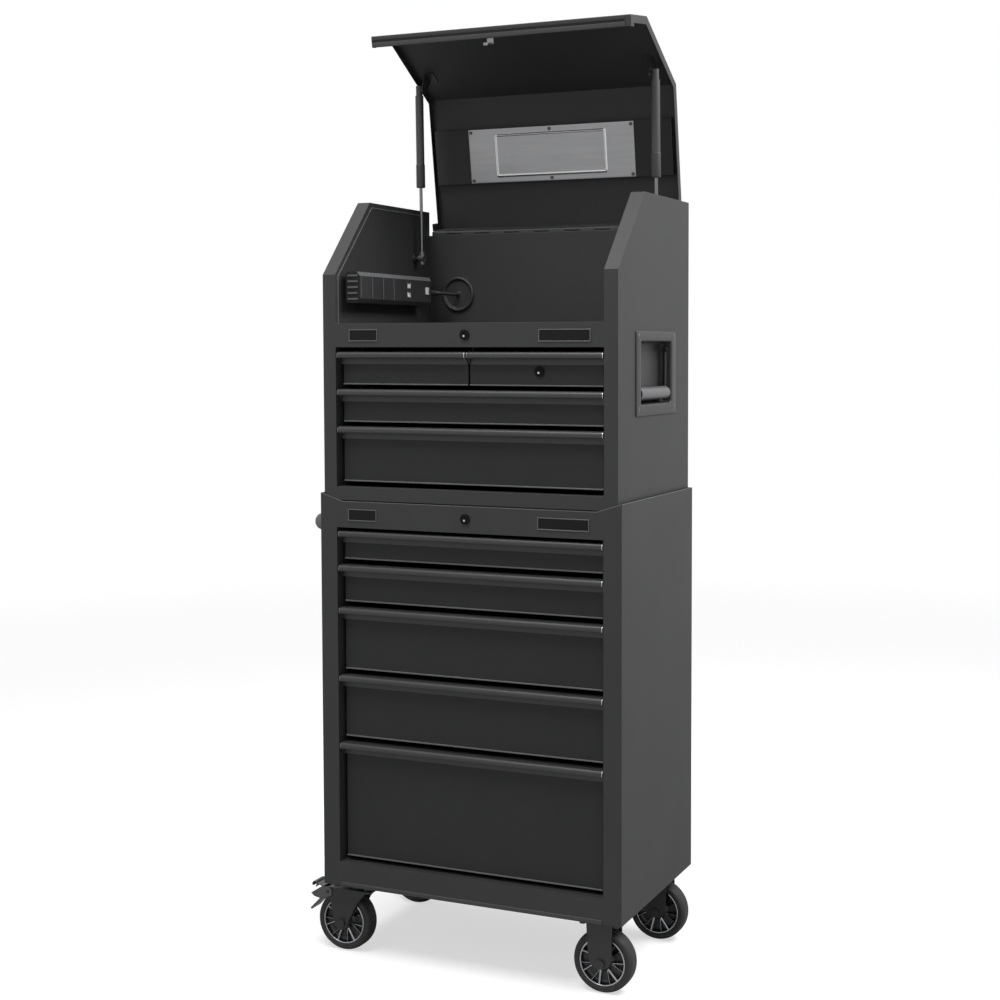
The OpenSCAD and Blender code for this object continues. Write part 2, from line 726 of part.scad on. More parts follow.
// Tyre: a ring with rounded shoulders.
module tyre() {
    r = wheel_d / 2;
    w = wheel_w / 2;
    rotate([90, 0, 0]) rotate_extrude($fn = 96) {
        translate([rim_r + 0.02, -w]) square([r - rim_r - 5, 2 * w]);
        translate([rim_r + 0.02, 5 - w]) square([r - rim_r - 0.02, 2 * w - 10]);
        for (s = [-1, 1]) translate([r - 5, s * (w - 5)]) circle(r = 5);
    }
}

// Rim: hub, outer ring and seven V-shaped pairs of spokes.
module rim() {
    w = wheel_w / 2;
    rotate([90, 0, 0]) difference() {
        union() {
            translate([0, 0, -w - 1]) cylinder(r = 12, h = 2 * w + 2);
            difference() {
                translate([0, 0, 2 - w]) cylinder(r = rim_r, h = 2 * w - 4);
                translate([0, 0, -w]) cylinder(r = rim_r - 4.5, h = 2 * w);
            }
            translate([0, 0, -w + 4]) linear_extrude(2 * w - 8)
                for (i = [0 : 6], s = [-1, 1]) rotate(i * 360 / 7)
                    polygon([[10, 0], [10, s * 3.4], [rim_r - 3, s * 9.6], [rim_r - 3, s * 6.4]]);
        }
        translate([0, 0, -w - 5]) cylinder(r = axle_r + run_fit, h = 2 * w + 10);
    }
}

module at_wheel(side, y) {
    at_castor(side, y) translate([side < 0 ? -trail : 0, 0, axle_z]) children();
}

module tyre_front_left() { color(rubber) at_wheel(-1, castor_y) tyre(); }
module tyre_rear_left() { color(rubber) at_wheel(-1, cab_d - castor_y) tyre(); }
module tyre_front_right() { color(rubber) at_wheel(1, castor_y) tyre(); }
module tyre_rear_right() { color(rubber) at_wheel(1, cab_d - castor_y) tyre(); }
module rim_front_left() { color(bright) at_wheel(-1, castor_y) rim(); }
module rim_rear_left() { color(bright) at_wheel(-1, cab_d - castor_y) rim(); }
module rim_front_right() { color(bright) at_wheel(1, castor_y) rim(); }
module rim_rear_right() { color(bright) at_wheel(1, cab_d - castor_y) rim(); }

// ---- Lid ------------------------------------------------------------------

// Whatever is drawn shut is turned open about the hinge line.
module opened() {
    at_origin() translate([0, hinge_y, hinge_z]) rotate([-lid_open, 0, 0])
        translate([0, -hinge_y, -hinge_z]) children();
}

module lid() {
    color(paint) opened() {
        along_x(-lid_half, lid_half) polygon(strip(lid_edge, sheet));
        pair() along_x(lid_half - sheet, lid_half) polygon(strip(lid_edge, lid_flange));
    }
}

// Stiffening channel across the inside of the lid's flat top.
module lid_channel() {
    z0 = chest_top - channel_h;
    z1 = chest_top - sheet;
    y0 = channel_y - plate_h / 2 - 0.5;
    y1 = channel_y + plate_h / 2 + 0.5;
    color(paint_dark) opened() along_x(-lid_half + lid_flange - 6, lid_half - lid_flange + 6)
        polygon(strip([[y0, z1], [y0, z0], [y1, z0], [y1, z1]], sheet));
}

// Blank name plate with a raised panel, on the channel.
module lid_plate() {
    z = chest_top - channel_h;
    w = plate_w / 2;
    h = plate_h / 2;
    color(bright) opened() {
        block([-w, w], [channel_y - h, channel_y + h], [z - 0.8, z]);
        block([-w + 54, w - 54], [channel_y - h + 10, channel_y + h - 10], [z - 1.4, z - 0.5]);
    }
}

// Ear for a strut's head, riveted inside the lid's slanted panel.
module strut_ear() {
    p = pivot_shut;
    u = unit(lid_edge[2] - lid_edge[3]);
    n = [u[1], -u[0]];
    s = (p - lid_edge[3]) * u;
    foot = lid_edge[3] + u * s + n * sheet;
    x = strut_x - strut_d / 2 - face_gap - 2.2;
    along_x(x, x + 2) polygon([foot - u * 13, foot + u * 13, p + u * 6 + n * 3, p - u * 6 + n * 3]);
    bar_x([x, p[0], p[1]], 7, 2);
    along_x(x - 16, x + 1) polygon([foot - u * 13, foot + u * 13, foot + u * 13 + n * 1.6,
        foot - u * 13 + n * 1.6]);
}

// Keeper that drops through the front rail's slot when the lid is shut.
module keeper() {
    z = lid_low + sheet;
    block([-20, -8], [-15, 10.5], [z, z + 2]);
    block([-18, -10], [8, 10.5], [z - 19, z + 2]);
    block([-18, -10], [8, 12.5], [z - 19, z - 17]);
}

module lid_fittings() {
    color(steel) opened() {
        keeper();
        pair() strut_ear();
        for (x = [-plate_w / 2 + 5, 0, plate_w / 2 - 5], y = [-1, 1])
            translate([x, channel_y + y * (plate_h / 2 - 5), chest_top - channel_h - 2])
                cylinder(r = 3, h = 1.2);
        block([-lid_half + 3, lid_half - 3], [chest_d, chest_d + 1.4],
            [hinge_z + knuckle_r + 0.5, hinge_z + 28]);
        knuckles(1);
    }
}

// Knuckles of the long hinge: every second one belongs to the lid.
module knuckles(turn) {
    n = 16;
    step = 2 * (lid_half - 3) / n;
    for (i = [turn : 2 : n - 1]) difference() {
        union() {
            bar_x([-lid_half + 3 + i * step + face_gap / 2, hinge_y, hinge_z], knuckle_r,
                step - face_gap);
            translate([-lid_half + 3 + i * step + face_gap / 2, chest_d,
                turn > 0 ? hinge_z : hinge_z - knuckle_r - 1])
                cube([step - face_gap, 1.4, knuckle_r + 1]);
        }
        bar_x([-lid_half + i * step - 2, hinge_y, hinge_z], 2 + (turn > 0 ? run_fit : 0),
            step + 8);
    }
}

// Fixed leaf, its knuckles and the hinge pin.
module piano_hinge() {
    color(steel) at_origin() {
        block([-lid_half + 3, lid_half - 3], [chest_d, chest_d + 1.4],
            [hinge_z - 28, hinge_z - knuckle_r - 0.6]);
        knuckles(0);
        bar_x([-lid_half + 3, hinge_y, hinge_z], 2, 2 * lid_half - 6);
    }
}

// ---- Gas struts -----------------------------------------------------------

// A strut is drawn upright from its ball and tilted to the open lid's pivot.
module on_ball() {
    at_origin() translate([0, ball[0], ball[1]]) rotate([strut_tilt, 0, 0]) children();
}

// Rod with the socket that sits on the wall's stud.
module strut_rod() {
    difference() {
        union() {
            translate([strut_x, 0, 0]) cylinder(r = strut_rod_d / 2, h = rod_len);
            translate([strut_x, 0, -11]) cylinder(r = 5, h = 23);
            bar_x([strut_x - 5, 0, 0], 7, 10);
            translate([strut_x, 0, rod_len - 6]) cylinder(r = strut_d / 2 - 1.5 - run_fit, h = 6);
        }
        bar_x([strut_x - 20, 0, 0], 4 + run_fit, 40);
    }
}

// Cylinder with its guide sleeve at the bottom and the head that meets the lid's ear.
module strut_tube() {
    z0 = strut_len - tube_len;
    difference() {
        union() {
            translate([strut_x, 0, z0]) cylinder(r = strut_d / 2, h = tube_len - 10);
            translate([strut_x, 0, strut_len - 11]) cylinder(r = 6, h = 19);
            bar_x([strut_x - strut_d / 2 - 0.2, 0, strut_len], 4, strut_d / 2);
        }
        translate([strut_x, 0, z0 + 6]) cylinder(r = strut_d / 2 - 1.5, h = tube_len - 22);
        translate([strut_x, 0, z0 - 1]) cylinder(r = strut_rod_d / 2 + run_fit, h = 10);
    }
}

module strut_rod_right() { color(bright) on_ball() strut_rod(); }
module strut_rod_left() { color(bright) on_ball() mirror([1, 0, 0]) strut_rod(); }
module strut_tube_right() { color(paint_dark) on_ball() strut_tube(); }
module strut_tube_left() { color(paint_dark) on_ball() mirror([1, 0, 0]) strut_tube(); }

// ---- Power bar and cord ---------------------------------------------------

bar_at = [[8.5 - chest_in, 36 - chest_in], [20, gland_at[1]], [tray_z + 73, tray_z + 126]];
switch_y = 260;
switch_z = tray_z + 100.5;
pin_r = 1.2;
usb_y = [186, 198];
usb_h = 10.5;
usb_z = [tray_z + 86.5, tray_z + 102.5];

module power_bar() {
    x0 = bar_at[0][0];
    x1 = bar_at[0][1];
    z0 = bar_at[2][0];
    z1 = bar_at[2][1];
    color(paint_dark) at_origin() {
        difference() {
            union() {
                along_y(bar_at[1][0] + 1.5, bar_at[1][1]) polygon([[x0, z0 + 3], [x0, z1 - 3],
                    [x0 + 3, z1], [x1 - 6, z1], [x1, z1 - 7], [x1, z0 + 7], [x1 - 6, z0],
                    [x0 + 3, z0]]);
                for (i = [0 : 4]) block([x0 + 4, x1 - 4], [bar_at[1][0], bar_at[1][0] + 2],
                    [z0 + 5 + i * 10, z0 + 8 + i * 10]);
                for (y = [24, 62, 99.5, 136])
                    block([x0 + 1, x1 + 1.2], [y - 1.5, y + 1.5], [z0 + 8, z1 - 8]);
            }
            block([x1 - 8, x1 + 1.5], [switch_y - 7, switch_y + 7],
                [switch_z - 6.8, switch_z + 6.8]);
            translate([x1 - 2, switch_y, switch_z - 8]) cylinder(r = pin_r + run_fit, h = 16);
            for (z = usb_z) block([x1 - 12, x1 + 1], usb_y, [z, z + usb_h]);
            translate([x1, bar_at[1][1], z0 - 1]) rotate([0, 0, 45])
                translate([-5, -5, 0]) cube([10, 10, 60]);
        }
        for (y = [50, 240]) block([-chest_in, x0 + 1], [y, y + 20], [z0 + 12, z0 + 42]);
        translate([gland_at[0] - 4 * gland_way[0], gland_at[1] - 4 * gland_way[1],
            grommet_z + 1.5]) rotate([0, 0, -gland_turn]) rotate([-90, 0, 0])
            cylinder(r1 = 5.6, r2 = cord_d / 2 + 0.5, h = gland_long + 4);
    }
}

// Rocker on its pin, drawn with its rear half pressed in.
module power_switch() {
    color("#e8e8e6") at_origin() translate([bar_at[0][1] - 2, switch_y, switch_z]) {
        rotate([0, 0, 8]) translate([0, 0, -6.5]) linear_extrude(13)
            polygon([[-3, -6.3], [3, -6.3], [4, 0], [3, 6.3], [-3, 6.3], [-5, 0]]);
        translate([0, 0, -7.8]) cylinder(r = pin_r, h = 15.6);
    }
}

// Grommet in the back wall: flange, neck and a slotted disc.
module grommet() {
    color(rubber) at_origin() difference() {
        union() {
            bar_y([grommet_x, chest_d - sheet - 3, grommet_z], 33, 3);
            bar_y([grommet_x, chest_d - sheet - 1, grommet_z], 30 - run_fit, sheet + 3);
        }
        bar_y([grommet_x, chest_d - sheet - 4, grommet_z], 26.5, 2.5);
        bar_y([grommet_x, chest_d + 1, grommet_z], 26.5, 6);
        bar_y([cord_x, chest_d - 10, grommet_z], cord_d / 2 + 3 * face_gap, 20);
    }
}

// A tube of m sides swept along p: rings square to the path, turned with it.
function way(p, i) = unit((i < len(p) - 1 ? p[i + 1] : p[i]) - (i > 0 ? p[i - 1] : p[i]));
function square_to(v, w) = unit(v - w * (v * w));
function sides(p, i, v) = i == 0 ? square_to(v, way(p, 0)) :
    square_to(sides(p, i - 1, v), way(p, i));
// Points of a smooth curve through p, with n steps a span.
function smooth(p, n) = concat([for (i = [0 : len(p) - 2]) let (
    a = p[max(i - 1, 0)], b = p[i], c = p[i + 1], d = p[min(i + 2, len(p) - 1)])
    for (k = [0 : n - 1]) let (s = k / n)
        0.5 * (2 * b + (c - a) * s + (2 * a - 5 * b + 4 * c - d) * s * s
            + (3 * b - a - 3 * c + d) * s * s * s)], [p[len(p) - 1]]);

module sweep(p, r, m) {
    n = len(p);
    rings = [for (i = [0 : n - 1]) let (v = sides(p, i, [1, 0.1, 0.05]), u = cross(way(p, i), v))
        for (k = [0 : m - 1]) p[i] + r * (cos(k * 360 / m) * v + sin(k * 360 / m) * u)];
    skin = [for (i = [0 : n - 2], k = [0 : m - 1]) [i * m + k, i * m + (k + 1) % m,
        (i + 1) * m + (k + 1) % m, (i + 1) * m + k]];
    polyhedron(rings, concat([[for (k = [m - 1 : -1 : 0]) k]],
        [[for (k = [0 : m - 1]) (n - 1) * m + k]], skin), convexity = 8);
}

module cord() {
    color(rubber) at_origin() {
        sweep(smooth(cord_points, 3), cord_d / 2, 8);
        sweep(tail_points, cord_d / 2, 8);
    }
}

// Outer shape of the coiled length.
module cord_coil() {
    color(rubber) at_origin() translate([coil_at[0], coil_at[1], 0]) rotate_extrude()
        translate([coil_r - cord_d / 2, 0]) square([cord_d, 2 * cord_d + 0.2]);
}

// Three-pin plug lying beside the coil.
module plug() {
    x = coil_at[0] - 52;
    y = coil_at[1] + coil_r;
    color(rubber) at_origin() {
        translate([x, y, 12]) rotate([0, -90, 0]) cylinder(r1 = 4.4, r2 = 7, h = 26);
        block([x - 54, x - 25], [y - 14, y + 14], [0, 24]);
        for (s = [-1, 1]) block([x - 71, x - 53], [y + s * 6.5 - 0.75, y + s * 6.5 + 0.75], [11, 17]);
        translate([x - 53, y, 6]) rotate([0, -90, 0]) cylinder(r = 2.4, h = 20);
    }
}

cab_shell();
cab_back();
chest_shell();
tray_floor();
slide_rails();
rigid_forks();
swivel_plates();
swivel_fork_front();
swivel_fork_rear();
brake_pedal_front();
brake_pedal_rear();
tyre_front_left();
tyre_rear_left();
tyre_front_right();
tyre_rear_right();
rim_front_left();
rim_rear_left();
rim_front_right();
rim_rear_right();
push_handle();
handle_dishes();
bail_left();
bail_right();
badges();
chest_lock();
cab_lock();
drawer_lock();
chest_drawer_1_left();
chest_drawer_1_right();
chest_drawer_2();
chest_drawer_3();
cab_drawer_1();
cab_drawer_2();
cab_drawer_3();
cab_drawer_4();
cab_drawer_5();
chest_pull_1_left();
chest_pull_1_right();
chest_pull_2();
chest_pull_3();
cab_pull_1();
cab_pull_2();
cab_pull_3();
cab_pull_4();
cab_pull_5();
lid();
lid_channel();
lid_plate();
lid_fittings();
piano_hinge();
strut_rod_left();
strut_rod_right();
strut_tube_left();
strut_tube_right();
power_bar();
power_switch();
grommet();
cord();
cord_coil();
plug();
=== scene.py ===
import json
import math

import bmesh
import bpy
import numpy as np
from mathutils import Matrix, Vector


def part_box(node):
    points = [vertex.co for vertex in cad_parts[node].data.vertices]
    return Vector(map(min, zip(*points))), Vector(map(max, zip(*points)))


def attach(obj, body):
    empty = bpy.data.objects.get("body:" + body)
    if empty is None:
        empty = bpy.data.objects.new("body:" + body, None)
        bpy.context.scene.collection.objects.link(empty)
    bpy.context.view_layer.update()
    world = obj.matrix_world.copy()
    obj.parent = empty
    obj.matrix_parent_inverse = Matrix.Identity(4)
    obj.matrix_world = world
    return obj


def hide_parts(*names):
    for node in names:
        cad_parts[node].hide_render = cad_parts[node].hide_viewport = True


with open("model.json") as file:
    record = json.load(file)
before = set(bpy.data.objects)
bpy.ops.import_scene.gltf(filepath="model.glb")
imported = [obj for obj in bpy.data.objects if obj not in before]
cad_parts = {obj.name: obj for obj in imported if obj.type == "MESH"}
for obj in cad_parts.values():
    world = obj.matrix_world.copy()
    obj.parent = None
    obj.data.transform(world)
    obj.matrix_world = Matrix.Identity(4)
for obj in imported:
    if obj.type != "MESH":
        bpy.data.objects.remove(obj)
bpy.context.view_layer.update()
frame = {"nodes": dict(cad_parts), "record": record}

# Camera: stands right of the chest's middle at tray height and looks slightly
# down and to the left. The lens sits off centre on the sensor.
scene = bpy.context.scene
scene.view_settings.view_transform = "Standard"


def span(node):
    """The low and the high corner of a node's box, as arrays."""
    return [np.array(corner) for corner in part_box(node)]


def added(name, data):
    """A new object that holds the data, put into the scene."""
    piece = bpy.data.objects.new(name, data)
    scene.collection.objects.link(piece)
    return piece


chest_lo, chest_hi = span("chest_shell")
mid_x = (chest_lo[0] + chest_hi[0]) / 2
front_y = chest_lo[1]
eye = np.array([mid_x + 1.2069, front_y - 2.3232, 1.0610])
turn, dip = 0.39137, 0.05442
ahead = np.array([-math.sin(turn) * math.cos(dip), math.cos(turn) * math.cos(dip), -math.sin(dip)])
across = np.array([math.cos(turn), math.sin(turn), 0.0])
upward = np.cross(across, ahead)
camera = added("camera", bpy.data.cameras.new("camera"))
camera.data.lens = 56.746
camera.data.sensor_width = 36
camera.data.shift_x = -0.1037
camera.data.shift_y = -0.0657
camera.data.clip_end = 50
camera.matrix_world = Matrix((
    (across[0], upward[0], -ahead[0], eye[0]),
    (across[1], upward[1], -ahead[1], eye[1]),
    (across[2], upward[2], -ahead[2], eye[2]),
    (0, 0, 0, 1)))
scene.camera = camera


# Power cord: 6 mm round flex in a soft black jacket, moulded into the bar's gland and
# the plug. It bends through the wall's grommet, hangs behind and ends coiled on the floor.
class Wire:
    """A value in a material; sums, products and other arithmetic on it add Math nodes."""

    def __init__(self, socket):
        self.socket = socket

    def math(self, kind, first, second=None, clamp=False):
        node = self.socket.id_data.nodes.new("ShaderNodeMath")
        node.operation, node.use_clamp = kind, clamp
        for place, value in zip(node.inputs, (first, second)):
            if isinstance(value, Wire):
                self.socket.id_data.links.new(value.socket, place)
            elif value is not None:
                place.default_value = value
        return Wire(node.outputs[0])

    def __add__(self, other): return self.math("ADD", self, other)
    def __radd__(self, other): return self.math("ADD", other, self)
    def __sub__(self, other): return self.math("SUBTRACT", self, other)
    def __rsub__(self, other): return self.math("SUBTRACT", other, self)
    def __mul__(self, other): return self.math("MULTIPLY", self, other)
    def __rmul__(self, other): return self.math("MULTIPLY", other, self)
    def __truediv__(self, other): return self.math("DIVIDE", self, other)
    def __pow__(self, other): return self.math("POWER", self, other)
    def __lt__(self, other): return self.math("LESS_THAN", self, other)
    def __abs__(self): return self.math("ABSOLUTE", self)
    def kept(self): return self.math("ADD", self, 0.0, clamp=True)


class Finish:
    """One material: a Principled surface whose constant inputs are set on its sockets."""

    def __init__(self, name, **constants):
        self.material = bpy.data.materials.new(name)
        self.material.use_nodes = True
        self.tree = self.material.node_tree
        self.look = self.tree.nodes["Principled BSDF"]
        for key, value in constants.items():
            self.look.inputs[key.replace("_", " ")].default_value = value

    def node(self, kind, settings=None, **inputs):
        """A node of a given type: its settings first, then the values or links of its sockets,
        each by its name, or as n0, n1 and so on where names repeat."""
        node = self.tree.nodes.new("ShaderNode" + kind)
        for key, value in (settings or {}).items():
            setattr(node, key, value)
        for key, value in inputs.items():
            name = key.replace("_", " ")
            by_number = name[0] == "n" and name[1:].isdigit()
            place = node.inputs[int(name[1:]) if by_number else name]
            if isinstance(value, Wire):
                self.tree.links.new(value.socket, place)
            else:
                place.default_value = value
        return node

    def out(self, kind, settings=None, output=0, **inputs):
        """One output of such a node."""
        return Wire(self.node(kind, settings, **inputs).outputs[output])

    def place(self):
        """The point's own place on the chest, in metres."""
        return self.out("TexCoord", output="Object")

    def parts(self, vector):
        """The three values of a vector."""
        split = self.node("SeparateXYZ", Vector=vector)
        return [Wire(socket) for socket in split.outputs]

    def stretched(self, vector, scale):
        return self.out("Mapping", Vector=vector, Scale=scale)

    def noise(self, vector, scale, detail=3.0, rough=0.5):
        return self.out("TexNoise", Vector=vector, Scale=scale, Detail=detail, Roughness=rough)

    def mix(self, amount, first, second):
        """Blend of two colours."""
        node = self.tree.nodes.new("ShaderNodeMix")
        node.data_type = "RGBA"
        for place, value in ((0, amount), (6, first), (7, second)):
            if isinstance(value, Wire):
                self.tree.links.new(value.socket, node.inputs[place])
            else:
                node.inputs[place].default_value = (*value, 1) if place else value
        return Wire(node.outputs[2])

    def bump(self, height, depth, strength):
        node = self.node("Bump", Height=height, Distance=depth, Strength=strength)
        self.tree.links.new(node.outputs[0], self.look.inputs["Normal"])

    def set(self, **inputs):
        """Links what varies over the surface, and returns the finished material."""
        for key, value in inputs.items():
            self.tree.links.new(value.socket, self.look.inputs[key.replace("_", " ")])
        return self.material


def dress(piece, body, slot, materials, *nodes):
    """Puts materials on a piece, lets it ride on a body and stand for the named nodes."""
    piece.data.materials.clear()
    for material in materials if isinstance(materials, (list, tuple)) else [materials]:
        piece.data.materials.append(material)
    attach(piece, body)
    if nodes:
        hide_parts(*nodes)


def cabinet_point(x, y, z):
    """A point given in mm from the chest's middle, its front plane and the floor."""
    return np.array([mid_x + x / 1000, front_y + y / 1000, z / 1000])


def cord_route(gland, slant, through, bend, lead, coil_at, coil_r, turns, rise_at, tail):
    """Centreline: a straight from the gland at a slant, an arc of radius bend that turns it into
    the wall, the lead of points down to the floor, then a circle of coil_r whose height steps up
    one diameter along a smooth cubic between rise_at and rise_at + 0.2 turns, and the tail."""
    foot = through - bend * np.array([1 - math.cos(slant), math.sin(slant), 0.0])
    straight = gland + (foot - gland) * np.linspace(0, 1, 4)[:, None]
    angle = slant * np.array([2 / 3, 1 / 3, 0.0])
    arc = through - bend * np.stack([1 - np.cos(angle), np.sin(angle), 0 * angle], axis=1)
    count = np.linspace(0, turns, round(16 * turns) + 1)
    step = np.clip((count - rise_at) / 0.2, 0, 1)
    lying = cord_r + 0.0001
    around = 2 * math.pi * count - math.pi / 2
    coil = np.stack([coil_at[0] + coil_r * np.cos(around), coil_at[1] + coil_r * np.sin(around),
                     lying + 2 * lying * step * step * (3 - 2 * step)], axis=1)
    return np.concatenate([straight, arc, lead, coil, tail])


def line_of(points):
    """Such points as an array."""
    return np.array([cabinet_point(*point) for point in points])


cord_r, slant = 0.003, math.radians(36.1)
hole_x, hole_z, hang_y, coil_y = -186.5, 1163, 406, 439
down = [(hole_x, y, z) for y, z in (
    (346, hole_z), (354, 1161), (363, 1156), (370, 1147), (374, 1135), (378, 1103), (388, 900),
    (399, 600), (hang_y, 300), (hang_y, 60))]
down += [(x, hang_y, z) for x, z in (
    (-184.5, 36), (-177.5, 19), (-166.5, 9), (-152.5, 3.6), (-136.5, 3.1), (-112.5, 3.1))]
last = [(x, coil_y + 33, z) for x, z in ((-112.5, 9.3), (-126.5, 11.5), (-138.5, 12), (-150.5, 12))]
route = cord_route(
    gland=cabinet_point(-209.04, 298.78, 1164.5), slant=slant, through=cabinet_point(hole_x, 338, hole_z),
    bend=0.026, lead=line_of(down), coil_at=cabinet_point(-98.5, coil_y, 0), coil_r=0.033, turns=1.5,
    rise_at=0.69, tail=line_of(last))
flex = bpy.data.curves.new("power_cord", "CURVE")
flex.dimensions = "3D"
flex.bevel_depth, flex.bevel_resolution, flex.resolution_u = cord_r, 5, 6
flex.use_fill_caps = True
thread = flex.splines.new("BEZIER")
thread.bezier_points.add(len(route) - 1)
for knot, where in zip(thread.bezier_points, route):
    knot.co = where
    knot.handle_left_type = knot.handle_right_type = "AUTO"
cord = added("power_cord", flex)
jacket = Finish("cord_jacket", Metallic=0.0, Specular_IOR_Level=0.35)
at = jacket.place()
fine, broad = jacket.noise(at, 1400.0, 2.0), jacket.noise(at, 60.0, 3.0)
jacket.bump(fine, 0.00005, 0.5)
dress(cord, "cabinet", "cord_jacket", jacket.set(
    Base_Color=jacket.mix(broad, (0.012, 0.012, 0.013), (0.022, 0.022, 0.023)),
    Roughness=0.44 + 0.2 * broad), "cord", "cord_coil")


# Studio: a large softbox on the right, one overhead and a faint one in front, and a white
# surround that only the eye, mirrors and glass see at full strength.
def softbox(name, at, aim, size, power):
    """A square area lamp of a given side, at one point and facing another."""
    lamp = bpy.data.lights.new(name, "AREA")
    lamp.shape, lamp.size, lamp.energy = "SQUARE", size, power
    box = added(name, lamp)
    box.location = at
    box.rotation_euler = (Vector(aim) - Vector(at)).to_track_quat("-Z", "Y").to_euler()


softbox("softbox_right", (1.9, 0.3, 2.8), (0.2, 0, 1.3), 1.3, 84)
softbox("softbox_front", (-0.6, -3.8, 2.4), (0, 0, 0.8), 2.4, 9)
softbox("softbox_top", (-0.3, -1.3, 3.6), (0, 0, 1.1), 1.5, 88)
surround_low, surround_full = 0.24, 1.0
world = bpy.data.worlds.new("surround")
scene.world = world
world.use_nodes = True
net = world.node_tree
net.nodes.clear()
rays = net.nodes.new("ShaderNodeLightPath").outputs
seen = Wire(rays["Is Camera Ray"])
for kind in ("Is Glossy Ray", "Is Transmission Ray"):
    seen = seen.math("MAXIMUM", seen, Wire(rays[kind]))
level = net.nodes.new("ShaderNodeMapRange")
net.links.new(seen.socket, level.inputs["Value"])
level.inputs["To Min"].default_value, level.inputs["To Max"].default_value = surround_low, surround_full
glow = net.nodes.new("ShaderNodeBackground")
glow.inputs["Color"].default_value = (1, 1, 1, 1)
net.links.new(level.outputs["Result"], glow.inputs["Strength"])
out = net.nodes.new("ShaderNodeOutputWorld")
net.links.new(glow.outputs[0], out.inputs["Surface"])

# Floor: a plain pale studio floor that carries the object's shadow and melts into the
# white surround a few metres out. The eye alone sees it glow, which lightens that shadow.
reach, fade_from, fade_over, floor_tone, floor_lift = 9, 1.3, 3.2, 0.56, 0.60
floor_mesh = bpy.data.meshes.new("floor")
floor_mesh.from_pydata([(-reach, -reach, 0), (reach, -reach, 0), (reach, reach, 0), (-reach, reach, 0)],
                       [], [(0, 1, 2, 3)])
floor = added("floor", floor_mesh)
paper = Finish("floor", Roughness=0.9, Specular_IOR_Level=0.0)
paper.look.inputs["Base Color"].default_value = (floor_tone, floor_tone, floor_tone, 1)
far = paper.out("VectorMath", {"operation": "LENGTH"}, output="Value", Vector=paper.place())
fade = ((far - fade_from) / fade_over).kept()
lift = paper.node("Emission", Strength=floor_lift)
both = paper.node("AddShader", n0=Wire(paper.look.outputs[0]), n1=Wire(lift.outputs[0]))
eyes = paper.out("LightPath", output="Is Camera Ray")
lit = paper.node("MixShader", n0=eyes, n1=Wire(paper.look.outputs[0]), n2=Wire(both.outputs[0]))
clear = paper.node("BsdfTransparent")
whole = paper.node("MixShader", n0=fade, n1=Wire(lit.outputs[0]), n2=Wire(clear.outputs[0]))
paper.tree.links.new(whole.outputs[0], paper.tree.nodes["Material Output"].inputs["Surface"])
floor_mesh.materials.append(paper.material)


# Cabinet and chest shells: folded and spot-welded sheet steel under a fine-textured
# charcoal powder coat. Every fold keeps the small outside radius that the press leaves.
def powder_coat(name, tone, grain=1.0, gloss=0.44, shine=0.3):
    """Charcoal powder coat: slow mottling and pale grit in the colour, orange peel in the
    surface, and a little more gloss where the film lies thicker."""
    coat = Finish(name, Metallic=0.0, Specular_IOR_Level=shine)
    at = coat.place()
    cloud = coat.noise(at, 7.0, 4.0, 0.62)
    drift = coat.noise(coat.stretched(at, (1.0, 1.0, 0.35)), 31.0, 3.0, 0.55)
    speck = coat.noise(at, 1100.0, 2.0, 0.65)
    peel = coat.noise(at, 380.0, 2.0, 0.5)
    grit = coat.noise(at, 1700.0, 1.0, 0.5)
    body = coat.mix(cloud * 0.65 + drift * 0.35,
                    tuple(v * 0.8 for v in tone), tuple(v * 1.2 for v in tone))
    fleck = ((speck - 0.6) * 7.0).kept() * 0.4
    coat.bump(peel * 0.65 + grit * 0.35, 0.00016 * grain, 0.6)
    return coat.set(Base_Color=coat.mix(fleck, body, tuple(v * 2.2 for v in tone)),
                    Roughness=gloss + 0.14 * cloud + 0.1 * speck)


body_of = {node: name for name, nodes in frame["record"]["behaviour"]["bodies"].items() for node in nodes}
slot_of = {entry["node"]: entry["material_slot"] for entry in frame["record"]["subparts"]}


def shade_smooth(mesh, degrees):
    """Smooth faces, but with sharp edges where two of them turn by more than so many degrees."""
    mesh.polygons.foreach_set("use_smooth", np.ones(len(mesh.polygons), bool))
    mesh.set_sharp_from_angle(angle=math.radians(degrees))


def of_faces(mesh, key):
    """A vector that each face has, such as its center or its normal, as rows of an array."""
    values = np.empty(len(mesh.polygons) * 3)
    mesh.polygons.foreach_get(key, values)
    return values.reshape(-1, 3)


